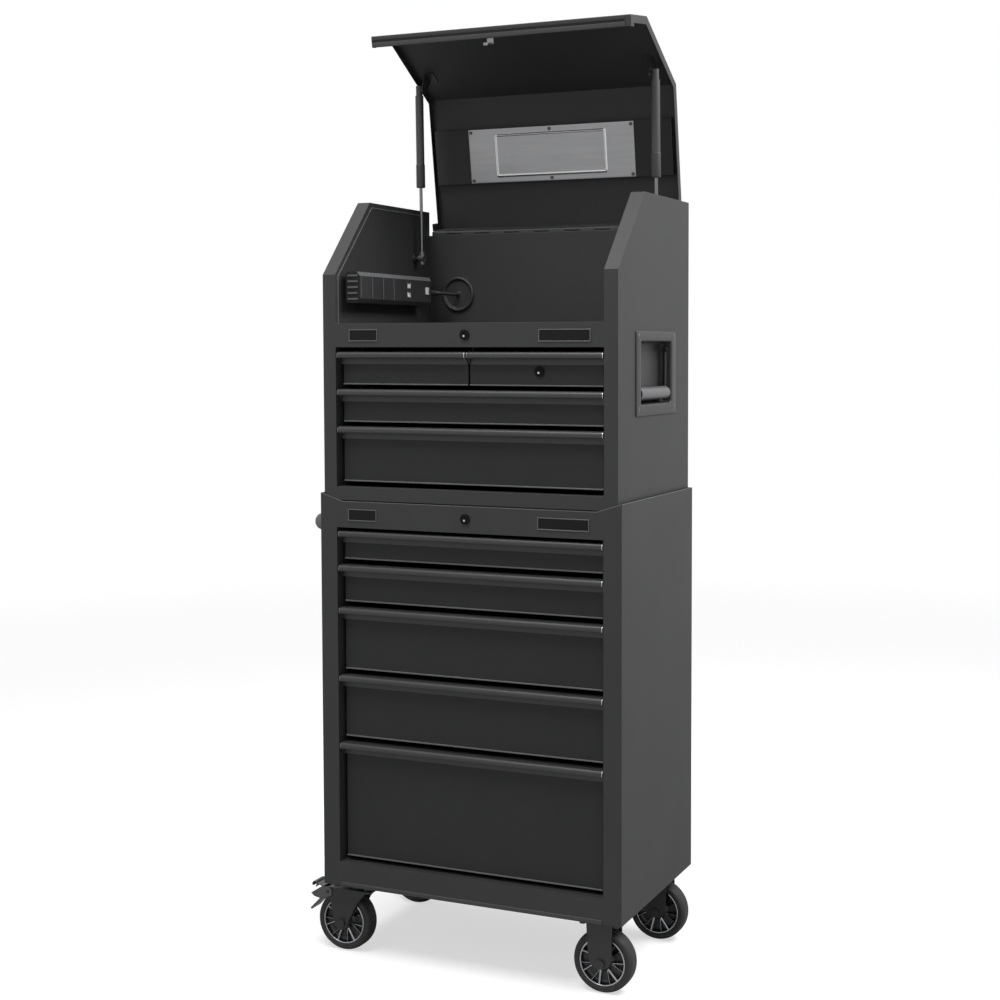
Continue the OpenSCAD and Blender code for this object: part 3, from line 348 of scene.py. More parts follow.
def softened(node, material, radius=0.0005, patches=(), segments=2, cuts=()):
    """The node's own solid with its triangles merged into faces, parted at some x and its edges
    rounded. A patch is a material and a test on the faces' middles and normals, as arrays."""
    mesh = frame["nodes"][node].data.copy()
    mesh.name = node + "_skin"
    form = bmesh.new()
    form.from_mesh(mesh)
    bmesh.ops.remove_doubles(form, verts=form.verts, dist=1e-6)
    bmesh.ops.dissolve_limit(form, angle_limit=math.radians(0.6), verts=form.verts, edges=form.edges)
    for x in cuts:
        bmesh.ops.bisect_plane(form, geom=list(form.verts) + list(form.edges) + list(form.faces),
                               plane_co=(x, 0, 0), plane_no=(1, 0, 0))
    form.to_mesh(mesh)
    form.free()
    shade_smooth(mesh, 28)
    piece = added(mesh.name, mesh)
    dress(piece, body_of[node], slot_of[node], [material] + [finish for finish, test in patches], node)
    if patches:
        middle, facing = of_faces(mesh, "center"), of_faces(mesh, "normal")
        index = np.zeros(len(middle), np.int32)
        for number, (finish, test) in enumerate(patches, 1):
            index[test(middle, facing)] = number
        mesh.polygons.foreach_set("material_index", index)
    edge = piece.modifiers.new("edge", "BEVEL")
    edge.width, edge.segments = radius, segments
    edge.limit_method, edge.angle_limit = "ANGLE", math.radians(35)
    edge.use_clamp_overlap = True
    shade = piece.modifiers.new("shade", "WEIGHTED_NORMAL")
    shade.keep_sharp = True


charcoal = (0.0300, 0.0303, 0.0315)
body_coat = powder_coat("body_coat", charcoal)
softened("cab_shell", body_coat, 0.0007, segments=3)
softened("chest_shell", body_coat, 0.0006, segments=3)

# Back sheet and tray floor: flat sheets of the same steel, spot-welded inside the shells.
# Their coat is a little darker and flatter.
inner_coat = powder_coat("inner_coat", (0.0270, 0.0272, 0.0283), 0.8, 0.5, 0.25)
softened("cab_back", inner_coat)
softened("tray_floor", inner_coat)


# Drawer slides: C rails, roll-formed from zinc-plated strip and riveted to the walls of the
# cabinet and the chest.
def plated(name, tone, rough=0.34, cells=0.5, metal=1.0):
    """Zinc plate: cloudy crystals in the tone and the roughness, faint rolling marks."""
    zinc = Finish(name, Metallic=metal)
    at = zinc.place()
    grain = zinc.noise(zinc.stretched(at, (1, 0.2, 1)), 260.0, 3.0, 0.6)
    cell = zinc.out("TexVoronoi", output="Color", Vector=at, Scale=140.0)
    facet = zinc.out("SeparateColor", Color=cell)
    zinc.bump(grain, 0.00005, 0.4)
    cloudy = facet * cells + grain * (1 - cells)
    return zinc.set(Base_Color=zinc.mix(cloudy, tuple(v * 0.84 for v in tone), tone),
                    Roughness=rough + 0.16 * grain)


zinc = plated("zinc", (0.56, 0.57, 0.59))
softened("slide_rails", zinc, 0.0002)


# Castor frames: pressed forks, top plates and ball races in dark plated steel. The left
# pair swivels and has brake pedals, the right pair is rigid. Bolts are hexagon-headed.
fork_steel = plated("fork_steel", (0.031, 0.0313, 0.0323), 0.42, 0.25, 0.4)
for node in ("rigid_forks", "swivel_plates", "swivel_fork_front", "swivel_fork_rear"):
    softened(node, fork_steel, 0.0005)
pedal_steel = plated("pedal_steel", (0.11, 0.111, 0.114), 0.3, 0.2, 0.85)
for node in ("brake_pedal_front", "brake_pedal_rear"):
    softened(node, pedal_steel, 0.0005)


# Tyres: moulded grey-black rubber rings with round shoulders, a fine bead line on each
# side wall and a mould's parting line round the tread.
def add_skin(name, points, faces, smooth=True, sharp=0):
    """A mesh object from an array of points and an array or list of faces."""
    mesh = bpy.data.meshes.new(name)
    mesh.from_pydata(np.asarray(points, float).reshape(-1, 3).tolist(), [],
                     [list(map(int, face)) for face in faces])
    mesh.polygons.foreach_set("use_smooth", np.full(len(mesh.polygons), smooth))
    if smooth and sharp:
        mesh.set_sharp_from_angle(angle=math.radians(sharp))
    mesh.update()
    return added(name, mesh)


def grid_faces(rows, columns, wrap_rows, wrap_columns):
    """Quads between neighbouring points of a grid, as an array of four indices a row."""
    i, j = np.meshgrid(np.arange(rows if wrap_rows else rows - 1),
                       np.arange(columns if wrap_columns else columns - 1), indexing="ij")
    i2, j2 = (i + 1) % rows, (j + 1) % columns
    corners = [i * columns + j, i * columns + j2, i2 * columns + j2, i2 * columns + j]
    return np.stack(corners, axis=-1).reshape(-1, 4)


def right_side_out(piece):
    """Turns all faces outwards on a closed mesh."""
    form = bmesh.new()
    form.from_mesh(piece.data)
    bmesh.ops.remove_doubles(form, verts=form.verts, dist=1e-7)
    bmesh.ops.recalc_face_normals(form, faces=form.faces)
    form.to_mesh(piece.data)
    form.free()
    return piece


def turned(name, profile, centre, axis, steps, sharp=30):
    """A closed profile of (radius, height) points turned about an axis through the centre:
    centre + height * axis + radius * (cos t * side + sin t * other side)."""
    axis = np.asarray(axis, float) / np.linalg.norm(axis)
    side = np.cross(axis, (0, 0, 1) if abs(axis[2]) < 0.9 else (1, 0, 0))
    side /= np.linalg.norm(side)
    other = np.cross(axis, side)
    profile = np.asarray(profile, float)
    t = np.linspace(0, 2 * math.pi, steps, endpoint=False)[:, None, None]
    r, h = profile[None, :, :1], profile[None, :, 1:]
    points = np.asarray(centre) + h * axis + r * (np.cos(t) * side + np.sin(t) * other)
    piece = add_skin(name, points, grid_faces(steps, len(profile), True, True))
    shade_smooth(right_side_out(piece).data, sharp)
    return piece


def rounded(corners, radius, steps=5):
    """A closed outline with each corner cut to an arc: a quadratic curve from one side to the
    next, whose middle control is the corner. A corner may have its own radius."""
    corners = np.asarray(corners, float)
    radius = np.broadcast_to(np.asarray(radius, float), len(corners))[:, None]
    before, after = np.roll(corners, 1, axis=0) - corners, np.roll(corners, -1, axis=0) - corners
    len_b, len_a = (np.linalg.norm(v, axis=1, keepdims=True) for v in (before, after))
    start = corners + before / len_b * np.minimum(radius, len_b * 0.49)
    end = corners + after / len_a * np.minimum(radius, len_a * 0.49)
    t = np.linspace(0, 1, steps)[None, :, None]
    curves = (1 - t) ** 2 * start[:, None] + 2 * t * (1 - t) * corners[:, None] + t ** 2 * end[:, None]
    return curves.reshape(-1, 2)


def both_sides(half):
    """An outline's half of (radius, height) points and its mirror image at negative heights."""
    return half + [(r, -h) for r, h in half[::-1]]


rubber = Finish("tyre_rubber", Metallic=0.0, Specular_IOR_Level=0.35)
at = rubber.place()
rub, dust = rubber.noise(at, 700.0, 3.0, 0.6), rubber.noise(at, 40.0, 4.0, 0.6)
height = rubber.parts(at)[2]
low = ((0.03 - height) * 40.0).kept()
rubber.bump(rub, 0.00018, 0.5)
tyre_look = rubber.set(
    Base_Color=rubber.mix(dust * 0.5 + low * 0.3, (0.019, 0.019, 0.0197), (0.036, 0.0355, 0.035)),
    Roughness=0.5 + 0.18 * rub + 0.1 * low)
rim_in = 0.0411
wall_radii = [0.0012, 0.0012, 0.0008, 0.0004, 0.0008, 0.002, 0.002, 0.002, 0.002, 0.0003]
wheel_middles, wheel_halves = {}, {}
for name in ("front_left", "front_right", "rear_left", "rear_right"):
    lo, hi = span("tyre_" + name)
    middle, half, radius = (lo + hi) / 2, (hi[1] - lo[1]) / 2, (hi[2] - lo[2]) / 2
    wheel_middles[name], wheel_halves[name] = middle, half
    outline = rounded(both_sides([
        (rim_in, half - 0.0022), (rim_in + 0.0012, half - 0.0006), (rim_in + 0.0034, half - 0.0001),
        (rim_in + 0.0042, half - 0.0009), (rim_in + 0.0050, half - 0.0001),
        (radius - 0.0042, half - 0.0006), (radius - 0.0016, half - 0.0030),
        (radius - 0.0003, half - 0.0064), (radius, half - 0.0100), (radius, 0.0006)]),
        wall_radii + wall_radii[::-1], 4)
    tyre = turned("tyre_" + name + "_ring", outline, middle, (0, 1, 0), 128, 50)
    dress(tyre, body_of["tyre_" + name], "tyre_rubber", tyre_look, "tyre_" + name)


# Wheel centres: a deep black dish moulded in one with the hub, a chromed trim ring, and
# seven chromed V spokes a side, each with one thick arm and one thin arm.
def grained(name, stretch, grain, relief, tones, gloss, **constants):
    """A material with one fine grain, which blends two tones, lifts the surface and adds to its
    roughness. The grain is a noise's scale, detail and roughness, and may be stretched."""
    finish = Finish(name, **constants)
    at = finish.place()
    fine = finish.noise(finish.stretched(at, stretch) if stretch else at, *grain)
    finish.bump(fine, *relief)
    return finish.set(Base_Color=finish.mix(fine, *tones), Roughness=gloss[0] + gloss[1] * fine)


dish_look = grained("wheel_black", None, (300.0, 3.0, 0.6), (0.00006, 0.4),
                    ((0.010, 0.010, 0.011), (0.018, 0.018, 0.019)), (0.3, 0.2),
                    Metallic=0.0, Specular_IOR_Level=0.5)
chrome = grained("wheel_chrome", (1, 6, 1), (520.0, 2.0, 0.7), (0.00003, 0.3),
                 ((0.15, 0.154, 0.162), (0.52, 0.53, 0.55)), (0.08, 0.12), Metallic=1.0)


def spokes(name, centre, axis_y, phase, hub_r, rim_r, low_y, high_y):
    """Fourteen arms in seven Vs: each arm is a bar with a ridged top, from the V's point on
    the hub to its end on the rim. Corner k of an arm is its line's point at the near or far
    end, moved across by half its width, or raised to the ridge."""
    v = np.arange(7)[:, None] * 2 * math.pi / 7 + phase
    spread = np.radians(np.array([10.5, -10.5]))[None, :]
    half_w = np.array([0.0017, 0.0008])[None, :]
    section = ((-1, -0.006), (-1, -0.0006), (-0.35, 0.0006), (0.35, 0.0006), (1, -0.0006), (1, -0.006))
    near = np.stack([np.cos(v + spread * 0.10), np.sin(v + spread * 0.10)], axis=-1) * hub_r
    far = np.stack([np.cos(v + spread), np.sin(v + spread)], axis=-1) * rim_r
    along = (far - near) / np.linalg.norm(far - near, axis=-1, keepdims=True)
    aside = np.stack([-along[..., 1], along[..., 0]], axis=-1) * half_w[..., None]
    ends = []
    for base, y in ((near, low_y), (far, high_y)):
        for shift, lift in section:
            flat = base + aside * shift
            level = np.full(flat.shape[:-1] + (1,), y + lift)
            ends.append(np.concatenate([flat[..., :1], level, flat[..., 1:]], axis=-1))
    points = np.stack(ends, axis=2).reshape(-1, 12, 3)
    points[..., 1] *= axis_y
    sides = [[k, (k + 1) % 6, (k + 1) % 6 + 6, k + 6] for k in range(6)]
    sides += [list(range(5, -1, -1)), list(range(6, 12))]
    faces = [[i * 12 + k for k in side] for i in range(len(points)) for side in sides]
    return right_side_out(add_skin(name, points + centre, faces, smooth=False))


phases = {"front_left": -18, "front_right": -7, "rear_right": -15, "rear_left": 4}
for name, middle in wheel_middles.items():
    half, rim = wheel_halves[name], "rim_" + name
    outline = rounded(both_sides([
        (0.0078, half + 0.0006), (0.0112, half + 0.0006), (0.0124, half - 0.0010), (0.0136, half - 0.0070),
        (0.0180, half - 0.0105), (0.0330, half - 0.0110), (0.0368, half - 0.0085),
        (0.0378, half - 0.0026), (0.0388, half - 0.0016), (0.0410, half - 0.0018)]), 0.0014, 4)
    dish = turned(rim + "_dish", outline, middle, (0, 1, 0), 96, 40)
    dress(dish, body_of[rim], "bar_plastic", dish_look, rim)
    trim = rounded([(0.0376, half - 0.0030), (0.0380, half - 0.0012), (0.0396, half - 0.0008),
                    (0.0409, half - 0.0016), (0.0404, half - 0.0040)], 0.0006, 4)
    for face, word in ((-1, "out"), (1, "in")):
        ring = turned(rim + "_ring_" + word, trim * (1, face), middle, (0, 1, 0), 96, 60)
        dress(ring, body_of[rim], "rim_chrome", chrome)
        star = spokes(rim + "_spokes_" + word, middle, face, math.radians(phases[name]),
                      0.0150, 0.0384, half - 0.0065, half - 0.0026)
        dress(star, body_of[rim], "rim_chrome", chrome)


# Folded edges and seams of the shells: a rolled seam bead on each inner wall of the tray, the
# upper edges of the cabinet's sides, and the hem along its bottom rail. Their coats are paler
# copies of the body's: a painted highlight where light catches the folds.
edge_coat = powder_coat("edge_coat", (0.105, 0.106, 0.110), 0.5, 0.38, 0.4)
hem_coat = powder_coat("hem_coat", (0.044, 0.0444, 0.0460), 0.8, 0.42, 0.3)


def bead(name, path, radius, flat):
    """A round bead along a path that lies in the plane with normal flat: at each point a circle
    of the radius, spread out by 1 / cos of half the turn so that the corners are mitred."""
    path, flat, steps = np.asarray(path, float), np.asarray(flat, float), 12
    run = np.diff(path, axis=0)
    run /= np.linalg.norm(run, axis=1, keepdims=True)
    before, after = np.vstack([run[:1], run]), np.vstack([run, run[-1:]])
    mean = before + after
    mean /= np.linalg.norm(mean, axis=1, keepdims=True)
    wide = radius / np.sum(mean * before, axis=1)[:, None, None]
    t = np.linspace(0, 2 * math.pi, steps, endpoint=False)[None, :, None]
    points = path[:, None] + radius * np.cos(t) * flat + wide * np.sin(t) * np.cross(mean, flat)[:, None]
    faces = grid_faces(len(path), steps, False, True).tolist()
    faces += [list(range(steps)), list(range((len(path) - 1) * steps, len(path) * steps))[::-1]]
    piece = right_side_out(add_skin(name, points, faces))
    shade_smooth(piece.data, 50)
    return piece


wall_in, seam_in, seam_r, edge_r, edge_in = 0.0245, 0.009, 0.00115, 0.0006, 0.0004
cab_lo, cab_hi = span("cab_shell")
tray_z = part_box("tray_floor")[1][2]
seam_top = chest_hi[2] - seam_in
seam = ((seam_in, tray_z + 0.0070), (seam_in, chest_hi[2] - 0.135), (0.123, seam_top), (0.312, seam_top))
for word, wall in (("left", chest_lo[0] + wall_in), ("right", chest_hi[0] - wall_in)):
    line = [(wall, chest_lo[1] + y, z) for y, z in seam]
    dress(bead("liner_seam_" + word, line, seam_r, (1, 0, 0)), "cabinet", "body_paint", edge_coat)
rim_z = cab_hi[2] - edge_in
for word, side in (("left", cab_lo[0] + edge_in), ("right", cab_hi[0] - edge_in)):
    line = [(side, cab_lo[1] + 0.003, rim_z), (side, cab_hi[1] - 0.001, rim_z)]
    dress(bead("top_edge_" + word, line, edge_r, (1, 0, 0)), "cabinet", "body_paint", edge_coat)
line = [(cab_lo[0] + 0.001, rim_z), (cab_lo[0] + 0.043, cab_hi[2] - 0.0138),
        (cab_hi[0] - 0.043, cab_hi[2] - 0.0138), (cab_hi[0] - 0.001, rim_z)]
line = [(x, cab_lo[1] + edge_in, z) for x, z in line]
dress(bead("top_edge_front", line, edge_r, (0, 1, 0)), "cabinet", "body_paint", edge_coat)


def extruded(name, outline, x0, x1):
    """A closed outline of (y, z) points carried straight from one x to another, with flat ends."""
    outline = np.asarray(outline, float)
    count = len(outline)
    points = np.stack([np.column_stack([np.full(count, x), outline]) for x in (x0, x1)])
    faces = grid_faces(2, count, False, True).tolist()
    faces += [list(range(count)), list(range(2 * count - 1, count - 1, -1))]
    piece = right_side_out(add_skin(name, points, faces))
    shade_smooth(piece.data, 40)
    return piece


pull_lo, pull_hi = span("cab_pull_5")
y, z = cab_lo[1], cab_lo[2]
outline = rounded([(y + 0.0005, z - 0.0002), (y - 0.0011, z - 0.0002), (y - 0.0011, z + 0.0066),
                   (y + 0.0005, z + 0.0074)], [0.0002, 0.0006, 0.0009, 0.0002], 4)
dress(extruded("bottom_rail_hem", outline, pull_lo[0], pull_hi[0]), "cabinet", "body_paint", hem_coat)

# Shadow gap: the chest's foot is folded in a little above the cabinet's top. A dark strip
# along its front stands for the shade in that fold.
gap_dark = powder_coat("gap_dark", (0.006, 0.006, 0.0064), 0.3, 0.6, 0.1)
y, z = chest_lo[1], chest_lo[2]
outline = rounded([(y + 0.0010, z + 0.0002), (y - 0.0003, z + 0.0002), (y - 0.0003, z + 0.0024),
                   (y + 0.0010, z + 0.0024)], 0.0001, 3)
foot_gap = extruded("chest_foot_gap", outline, chest_lo[0] + 0.0005, chest_hi[0] - 0.0005)
dress(foot_gap, "cabinet", "body_paint", gap_dark)


# Push handle: a satin grey bar between two moulded brackets on the cabinet's left side. A
# rounded cap makes the front bracket longer towards the front.
satin = Finish("handle_satin", Metallic=0.5)
at = satin.place()
lines = satin.noise(satin.stretched(at, (1, 0.04, 1)), 900.0, 3.0, 0.6)
cast = satin.noise(at, 420.0, 2.0, 0.5)
satin.bump(lines * 0.6 + cast * 0.4, 0.00005, 0.5)
handle_look = satin.set(Base_Color=satin.mix(lines, (0.105, 0.107, 0.110), (0.150, 0.152, 0.156)),
                        Roughness=0.36 + 0.14 * lines)
softened("push_handle", handle_look, 0.0016, segments=4)
handle_lo, handle_hi = span("push_handle")
handle_r = (handle_hi[2] - handle_lo[2]) / 2
cap_r, cap_long = handle_r - 0.0015, 0.0245
outline = rounded([(0.0002, -0.004), (cap_r, -0.004), (cap_r, cap_long - 0.0015), (0.0002, cap_long)],
                  [0.0001, 0.0005, 0.0085, 0.0001], 8)
handle_end = handle_lo + (handle_r, 0, handle_r)
cap = turned("push_handle_cap", outline, handle_end, (0, -1, 0), 64)
dress(cap, "cabinet", "handle_metal", handle_look)


# Side handles: a rectangular plate with a deep pressed pan, held by four domed rivets. The
# pan's mouth, its corners and its floor are all drawn round, so light runs softly into it.
def corner_ring(half_w, half_h, radius, count):
    """A rectangle with round corners as count points a quarter: each quarter is an arc of the
    radius about the corner's centre, and the straight sides join them."""
    t = np.linspace(0, math.pi / 2, count)
    quarter = np.arange(4)[:, None] * math.pi / 2
    angle = (quarter + t[None, :]).reshape(-1)
    sx = np.repeat(np.array([1, -1, -1, 1]), count)
    sy = np.repeat(np.array([1, 1, -1, -1]), count)
    return np.stack([sx * (half_w - radius) + radius * np.cos(angle),
                     sy * (half_h - radius) + radius * np.sin(angle)], axis=1)


def pressed_pan(name, middle, side, plate, mouth, shift, thick, depth):
    """Rings of a round-cornered rectangle, from the plate's back edge over its face, round the
    mouth's lip, down the walls and round into the floor; the last ring closes in the middle.
    Each ring has its half sizes, its corner radius, its height and its share of the shift
    between the plate's middle and the pan's."""
    (pw, ph), (mw, mh) = plate, mouth
    steps = [(pw, ph, 0.0030, -0.0008, 0), (pw, ph, 0.0030, thick - 0.0006, 0),
             (pw - 0.0002, ph - 0.0002, 0.0030, thick - 0.0002, 0),
             (pw - 0.0007, ph - 0.0007, 0.0028, thick, 0),
             (mw + 0.0050, mh + 0.0050, 0.0095, thick, 1),
             (mw + 0.0022, mh + 0.0022, 0.0070, thick - 0.0001, 1),
             (mw + 0.0010, mh + 0.0010, 0.0060, thick - 0.0006, 1),
             (mw + 0.0002, mh + 0.0002, 0.0055, thick - 0.0016, 1), (mw, mh, 0.0055, thick - 0.0030, 1)]
    fillet = 0.0100
    steps += [(mw - 0.0004 - fillet * (1 - math.cos(a)), mh - 0.0004 - fillet * (1 - math.cos(a)),
               0.0055 + 0.0015 * math.sin(a), fillet - depth - fillet * math.sin(a), 1)
              for a in np.linspace(0, math.pi / 2, 9)]
    steps += [(mw * 0.5, mh * 0.5, 0.0070, -depth, 1), (mw * 0.1, mh * 0.1, 0.0010, -depth, 1)]
    rings = []
    for w, h, radius, height, share in steps:
        flat = corner_ring(w, h, min(radius, w * 0.9, h * 0.9), 8)
        rings.append(np.stack([np.full(len(flat), side * height), flat[:, 0] + share * shift[0],
                               flat[:, 1] + share * shift[1]], axis=1))
    points = np.array(rings) + middle
    rows, columns = points.shape[:2]
    faces = grid_faces(rows, columns, False, True).tolist()
    faces += [list(range((rows - 1) * columns, rows * columns))]
    if side > 0:
        faces = [face[::-1] for face in faces]
    piece = add_skin(name, points, faces, sharp=50)
    wall = piece.modifiers.new("sheet", "SOLIDIFY")
    wall.thickness, wall.offset = 0.0007, -1
    return piece


def domes(name, places, axis, radius, height, sink=0.0004):
    """Rivet heads as one object: a quarter ellipse turned about each place, over a short hidden
    shank that is sunk in the sheet."""
    t = np.linspace(0, math.pi / 2, 7)
    outline = [(0.0001, -sink), (radius * 0.96, -sink), (radius, 0.0)]
    outline += [(max(radius * math.cos(a), 0.0001), height * math.sin(a)) for a in t[1:]]
    form = bmesh.new()
    for number, place in enumerate(places):
        head = turned(name + str(number), outline, place, axis, 20, 50)
        form.from_mesh(head.data)
        bpy.data.objects.remove(head)
    mesh = bpy.data.meshes.new(name)
    form.to_mesh(mesh)
    form.free()
    mesh.set_sharp_from_angle(angle=math.radians(50))
    return added(name, mesh)


dish_coat = powder_coat("dish_coat", charcoal, 0.5, 0.36, 0.35)
rivet_steel = plated("rivet_steel", (0.10, 0.101, 0.104), 0.26, 0.2, 0.8)
pan_lo, pan_hi = span("handle_dishes")
mouth_lo, mouth_hi = pan_lo[1:] + (0.0205, 0.018), pan_hi[1:] - (0.0205, 0.016)
mouth_mid, mouth_half = (mouth_lo + mouth_hi) / 2, (mouth_hi - mouth_lo) / 2
plate_mid, plate_half = (pan_lo + pan_hi) / 2, (pan_hi - pan_lo) / 2
dish_thick, dish_deep = 0.0015, 0.0215
rivet_y = (mouth_lo[0] - 0.011, mouth_hi[0] + 0.011)
rivet_z = (mouth_lo[1] - 0.007, mouth_hi[1] + 0.008)
for word, side in (("left", -1), ("right", 1)):
    plate_mid[0] = chest_lo[0] if side < 0 else chest_hi[0]
    pan = pressed_pan("dish_" + word, plate_mid, side, plate_half[1:], mouth_half,
                      mouth_mid - plate_mid[1:], dish_thick, dish_deep)
    dress(pan, "cabinet", "dish_paint", dish_coat, *(["handle_dishes"] if side > 0 else []))
    spots = [(plate_mid[0] + side * dish_thick, y, z) for y in rivet_y for z in rivet_z]
    heads = domes("dish_rivets_" + word, spots, (side, 0, 0), 0.0045, 0.0016)
    dress(heads, "cabinet", "castor_steel", rivet_steel)

# Swinging bails: a bent rod pinned in the pan's ends, its arms black, with a thick satin
# sleeve to grip.
arm_black = powder_coat("arm_black", (0.018, 0.018, 0.019), 0.4, 0.3, 0.4)
for node in ("bail_left", "bail_right"):
    def on_arm(middle, facing, sleeve_top=span(node)[0][2] + 0.0225):
        return middle[:, 2] > sleeve_top

    softened(node, handle_look, 0.0008, [(arm_black, on_arm)], 3)


# Drawers: folded boxes behind pan-shaped fronts whose bottom edges are hemmed. Their coat
# is a little darker and smoother than the shells'; the paler coat along the hem is a painted highlight.
drawer_coat = powder_coat("drawer_coat", (0.0215, 0.0218, 0.0229), 0.8, 0.42, 0.2)
hem_deep, hem_high = 0.0012, 0.0026
for node in frame["nodes"]:
    if "drawer_" in node and node != "drawer_lock":
        def on_hem(middle, facing, low=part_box(node)[0]):
            return (middle[:, 1] < low[1] + hem_deep) & (middle[:, 2] < low[2] + hem_high)

        softened(node, drawer_coat, 0.0005, [(edge_coat, on_hem)])

# Pulls: rolled strips clipped along the drawers' top edges, coated, with end caps in a bright
# metal finish: a painted highlight that shows as a thin bright arc where a pull stops.
pull_coat = powder_coat("pull_coat", (0.0290, 0.0293, 0.0305), 0.4, 0.33, 0.42)
cap_metal = plated("cap_metal", (0.42, 0.43, 0.445), 0.26, 0.2)
for node in frame["nodes"]:
    if "_pull_" in node:
        ends = (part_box(node)[0][0] + 0.0006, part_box(node)[1][0] - 0.0012)

        def on_cap(middle, facing, ends=ends):
            return (middle[:, 0] < ends[0]) | (middle[:, 0] > ends[1])

        softened(node, pull_coat, 0.0003, [(cap_metal, on_cap)], cuts=ends)


# Locks: black nickel barrels with a domed face, in the two rails and in the right half
# drawer's front. A small bright metal disc at the keyway is a painted highlight for its glint.
nickel_look = grained("black_nickel", None, (1200.0, 2.0, 0.6), (0.00002, 0.4),
                      ((0.020, 0.020, 0.021), (0.040, 0.040, 0.042)), (0.16, 0.14), Metallic=0.6)
lock_face = powder_coat("lock_face", (0.007, 0.007, 0.0074), 0.3, 0.4, 0.06)
slot_metal = plated("slot_metal", (0.50, 0.505, 0.52), 0.2, 0.2)
slot_outline = [(0.0001, -0.0012), (0.0018, -0.0012), (0.0018, 0.00003), (0.0001, 0.00003)]


def to_front(middle, facing):
    """True on faces that look straight to the front."""
    return facing[:, 1] < -0.9


for node in ("chest_lock", "cab_lock", "drawer_lock"):
    softened(node, nickel_look, 0.0006, [(lock_face, to_front)], 3)
    lo, hi = span(node)
    r = (hi[2] - lo[2]) / 2
    slot_at = (lo[0] + r - 0.0008, lo[1], lo[2] + r - 0.0020)
    slot = turned(node + "_slot", slot_outline, slot_at, (0, -1, 0), 20, 40)
    dress(slot, body_of[node], slot_of[node], slot_metal)

# Badges, left bare: dark pressed plates with a raised, brushed border, two on the rail of
# the chest and two on the rail of the cabinet.
badge_field = grained("badge_dark", (0.05, 1, 1), (1500.0, 2.0, 0.6), (0.00003, 0.4),
                      ((0.007, 0.007, 0.0074), (0.013, 0.013, 0.0138)), (0.4, 0.15),
                      Metallic=0.0, Specular_IOR_Level=0.1)
border = plated("badge_border", (0.11, 0.111, 0.115), 0.34, 0.2, 0.6)


def badge_floor(middle, facing):
    """True on the sunk field of each badge, whose face lies nearer its rail than the border's."""
    plane = np.where(middle[:, 2] > chest_lo[2], chest_lo[1], cab_lo[1])
    return to_front(middle, facing) & (middle[:, 1] > plane - 0.0011)


softened("badges", border, 0.00022, [(badge_field, badge_floor)])


# Lid: one folded sheet with a slanted front and side flanges, coated as the shells are,
# and a top-hat channel spot-welded inside it to stiffen the flat part.
softened("lid", body_coat, 0.0006, segments=3)
softened("lid_channel", inner_coat, 0.0006)

# Hinge and fittings: a long piano hinge, the struts' ears and the lock's keeper. The hinge
# and the ears are coated; the keeper is bare zinc plate.
hinge_coat = powder_coat("hinge_coat", (0.034, 0.0343, 0.0355), 0.4, 0.34, 0.4)
softened("piano_hinge", hinge_coat, 0.0003)
keeper_zinc = plated("keeper_zinc", (0.24, 0.243, 0.25), 0.3, 0.3, 0.8)
keeper_x, keeper_half = mid_x - 0.014, 0.0045


def on_keeper(middle, facing):
    """True on the keeper's faces: a narrow band near the middle, in the front half."""
    return (np.abs(middle[:, 0] - keeper_x) < keeper_half) & (middle[:, 1] < chest_lo[1] + 0.2)


softened("lid_fittings", hinge_coat, 0.0003, [(keeper_zinc, on_keeper)])

# Lip and hinge strips: the lid's front lip is rolled in two steps, the lower one in the paler
# hem coat as a painted highlight, with a dark strip between them as painted shade in the
# groove. A strip on each hinge leaf covers the slit beside the knuckles.
joints = {joint["name"]: joint for joint in frame["record"]["behaviour"]["joints"]}
swing = math.radians(-joints["lid_hinge"]["range_deg"][0])
hinge = np.array(joints["lid_hinge"]["pos_m"], float)


def opened(y, z):
    """A point beside the hinge line, given with the lid shut, as [y, z] with the lid open."""
    return (hinge[1] + y * math.cos(swing) + z * math.sin(swing),
            hinge[2] - y * math.sin(swing) + z * math.cos(swing))


lid_lo, lid_hi = span("lid")
lip_down = np.array([math.cos(swing), -math.sin(swing)])
lip_out = np.array([-math.sin(swing), -math.cos(swing)])
lip_top = np.array([lid_lo[1], lid_hi[2] - 0.0110])
groove_dark = powder_coat("groove_dark", (0.010, 0.010, 0.0106), 0.5, 0.5, 0.2)
for word, low, high, proud, look in (
        ("upper", 0.0006, 0.0070, 0.0006, body_coat), ("groove", 0.0068, 0.0112, 0.00015, groove_dark),
        ("lower", 0.0110, 0.0188, 0.0012, hem_coat)):
    corners = [lip_top + lip_down * down + lip_out * out for down, out in (
        (low, -0.0004), (low, proud), (high, proud), (high, -0.0004))]
    nose = min(proud, 0.0005) * 0.9
    roll = extruded("lid_lip_" + word, rounded(corners, [0.0001, nose, nose, 0.0001], 4),
                    lid_lo[0] + 0.001, lid_hi[0] - 0.011)
    dress(roll, "lid", "body_paint", look)
leaf_lo, leaf_hi = span("piano_hinge")
strip = ((-0.0038, 0.0064), (-0.0038, 0.0033), (-0.0029, 0.0033), (-0.0029, 0.0064))
for word, carrier, corners in (
        ("fixed", "cabinet", [(hinge[1] + y, hinge[2] - z) for y, z in strip]),
        ("lid", "lid", [opened(y, z) for y, z in strip])):
    leaf = extruded("hinge_strip_" + word, rounded(corners, 0.0002, 3),
                    leaf_lo[0] + 0.0005, leaf_hi[0] - 0.0005)
    dress(leaf, carrier, "body_paint", hinge_coat)

# Name plate, left bare: brushed aluminium with a pillow panel pressed up inside a raised
# rib, on six black rivets. A brighter finish on the rib's sloping faces is a painted highlight.
plate_up = np.array([0, -math.cos(swing), math.sin(swing)])
plate_out = np.array([0, -math.sin(swing), -math.cos(swing)])
plate_lo, plate_hi = span("lid_plate")
plate_mid = (plate_lo + plate_hi) / 2 - 0.0007 * plate_out
plate_w, plate_h, panel_w, panel_h = 0.332, 0.099, 0.224, 0.079


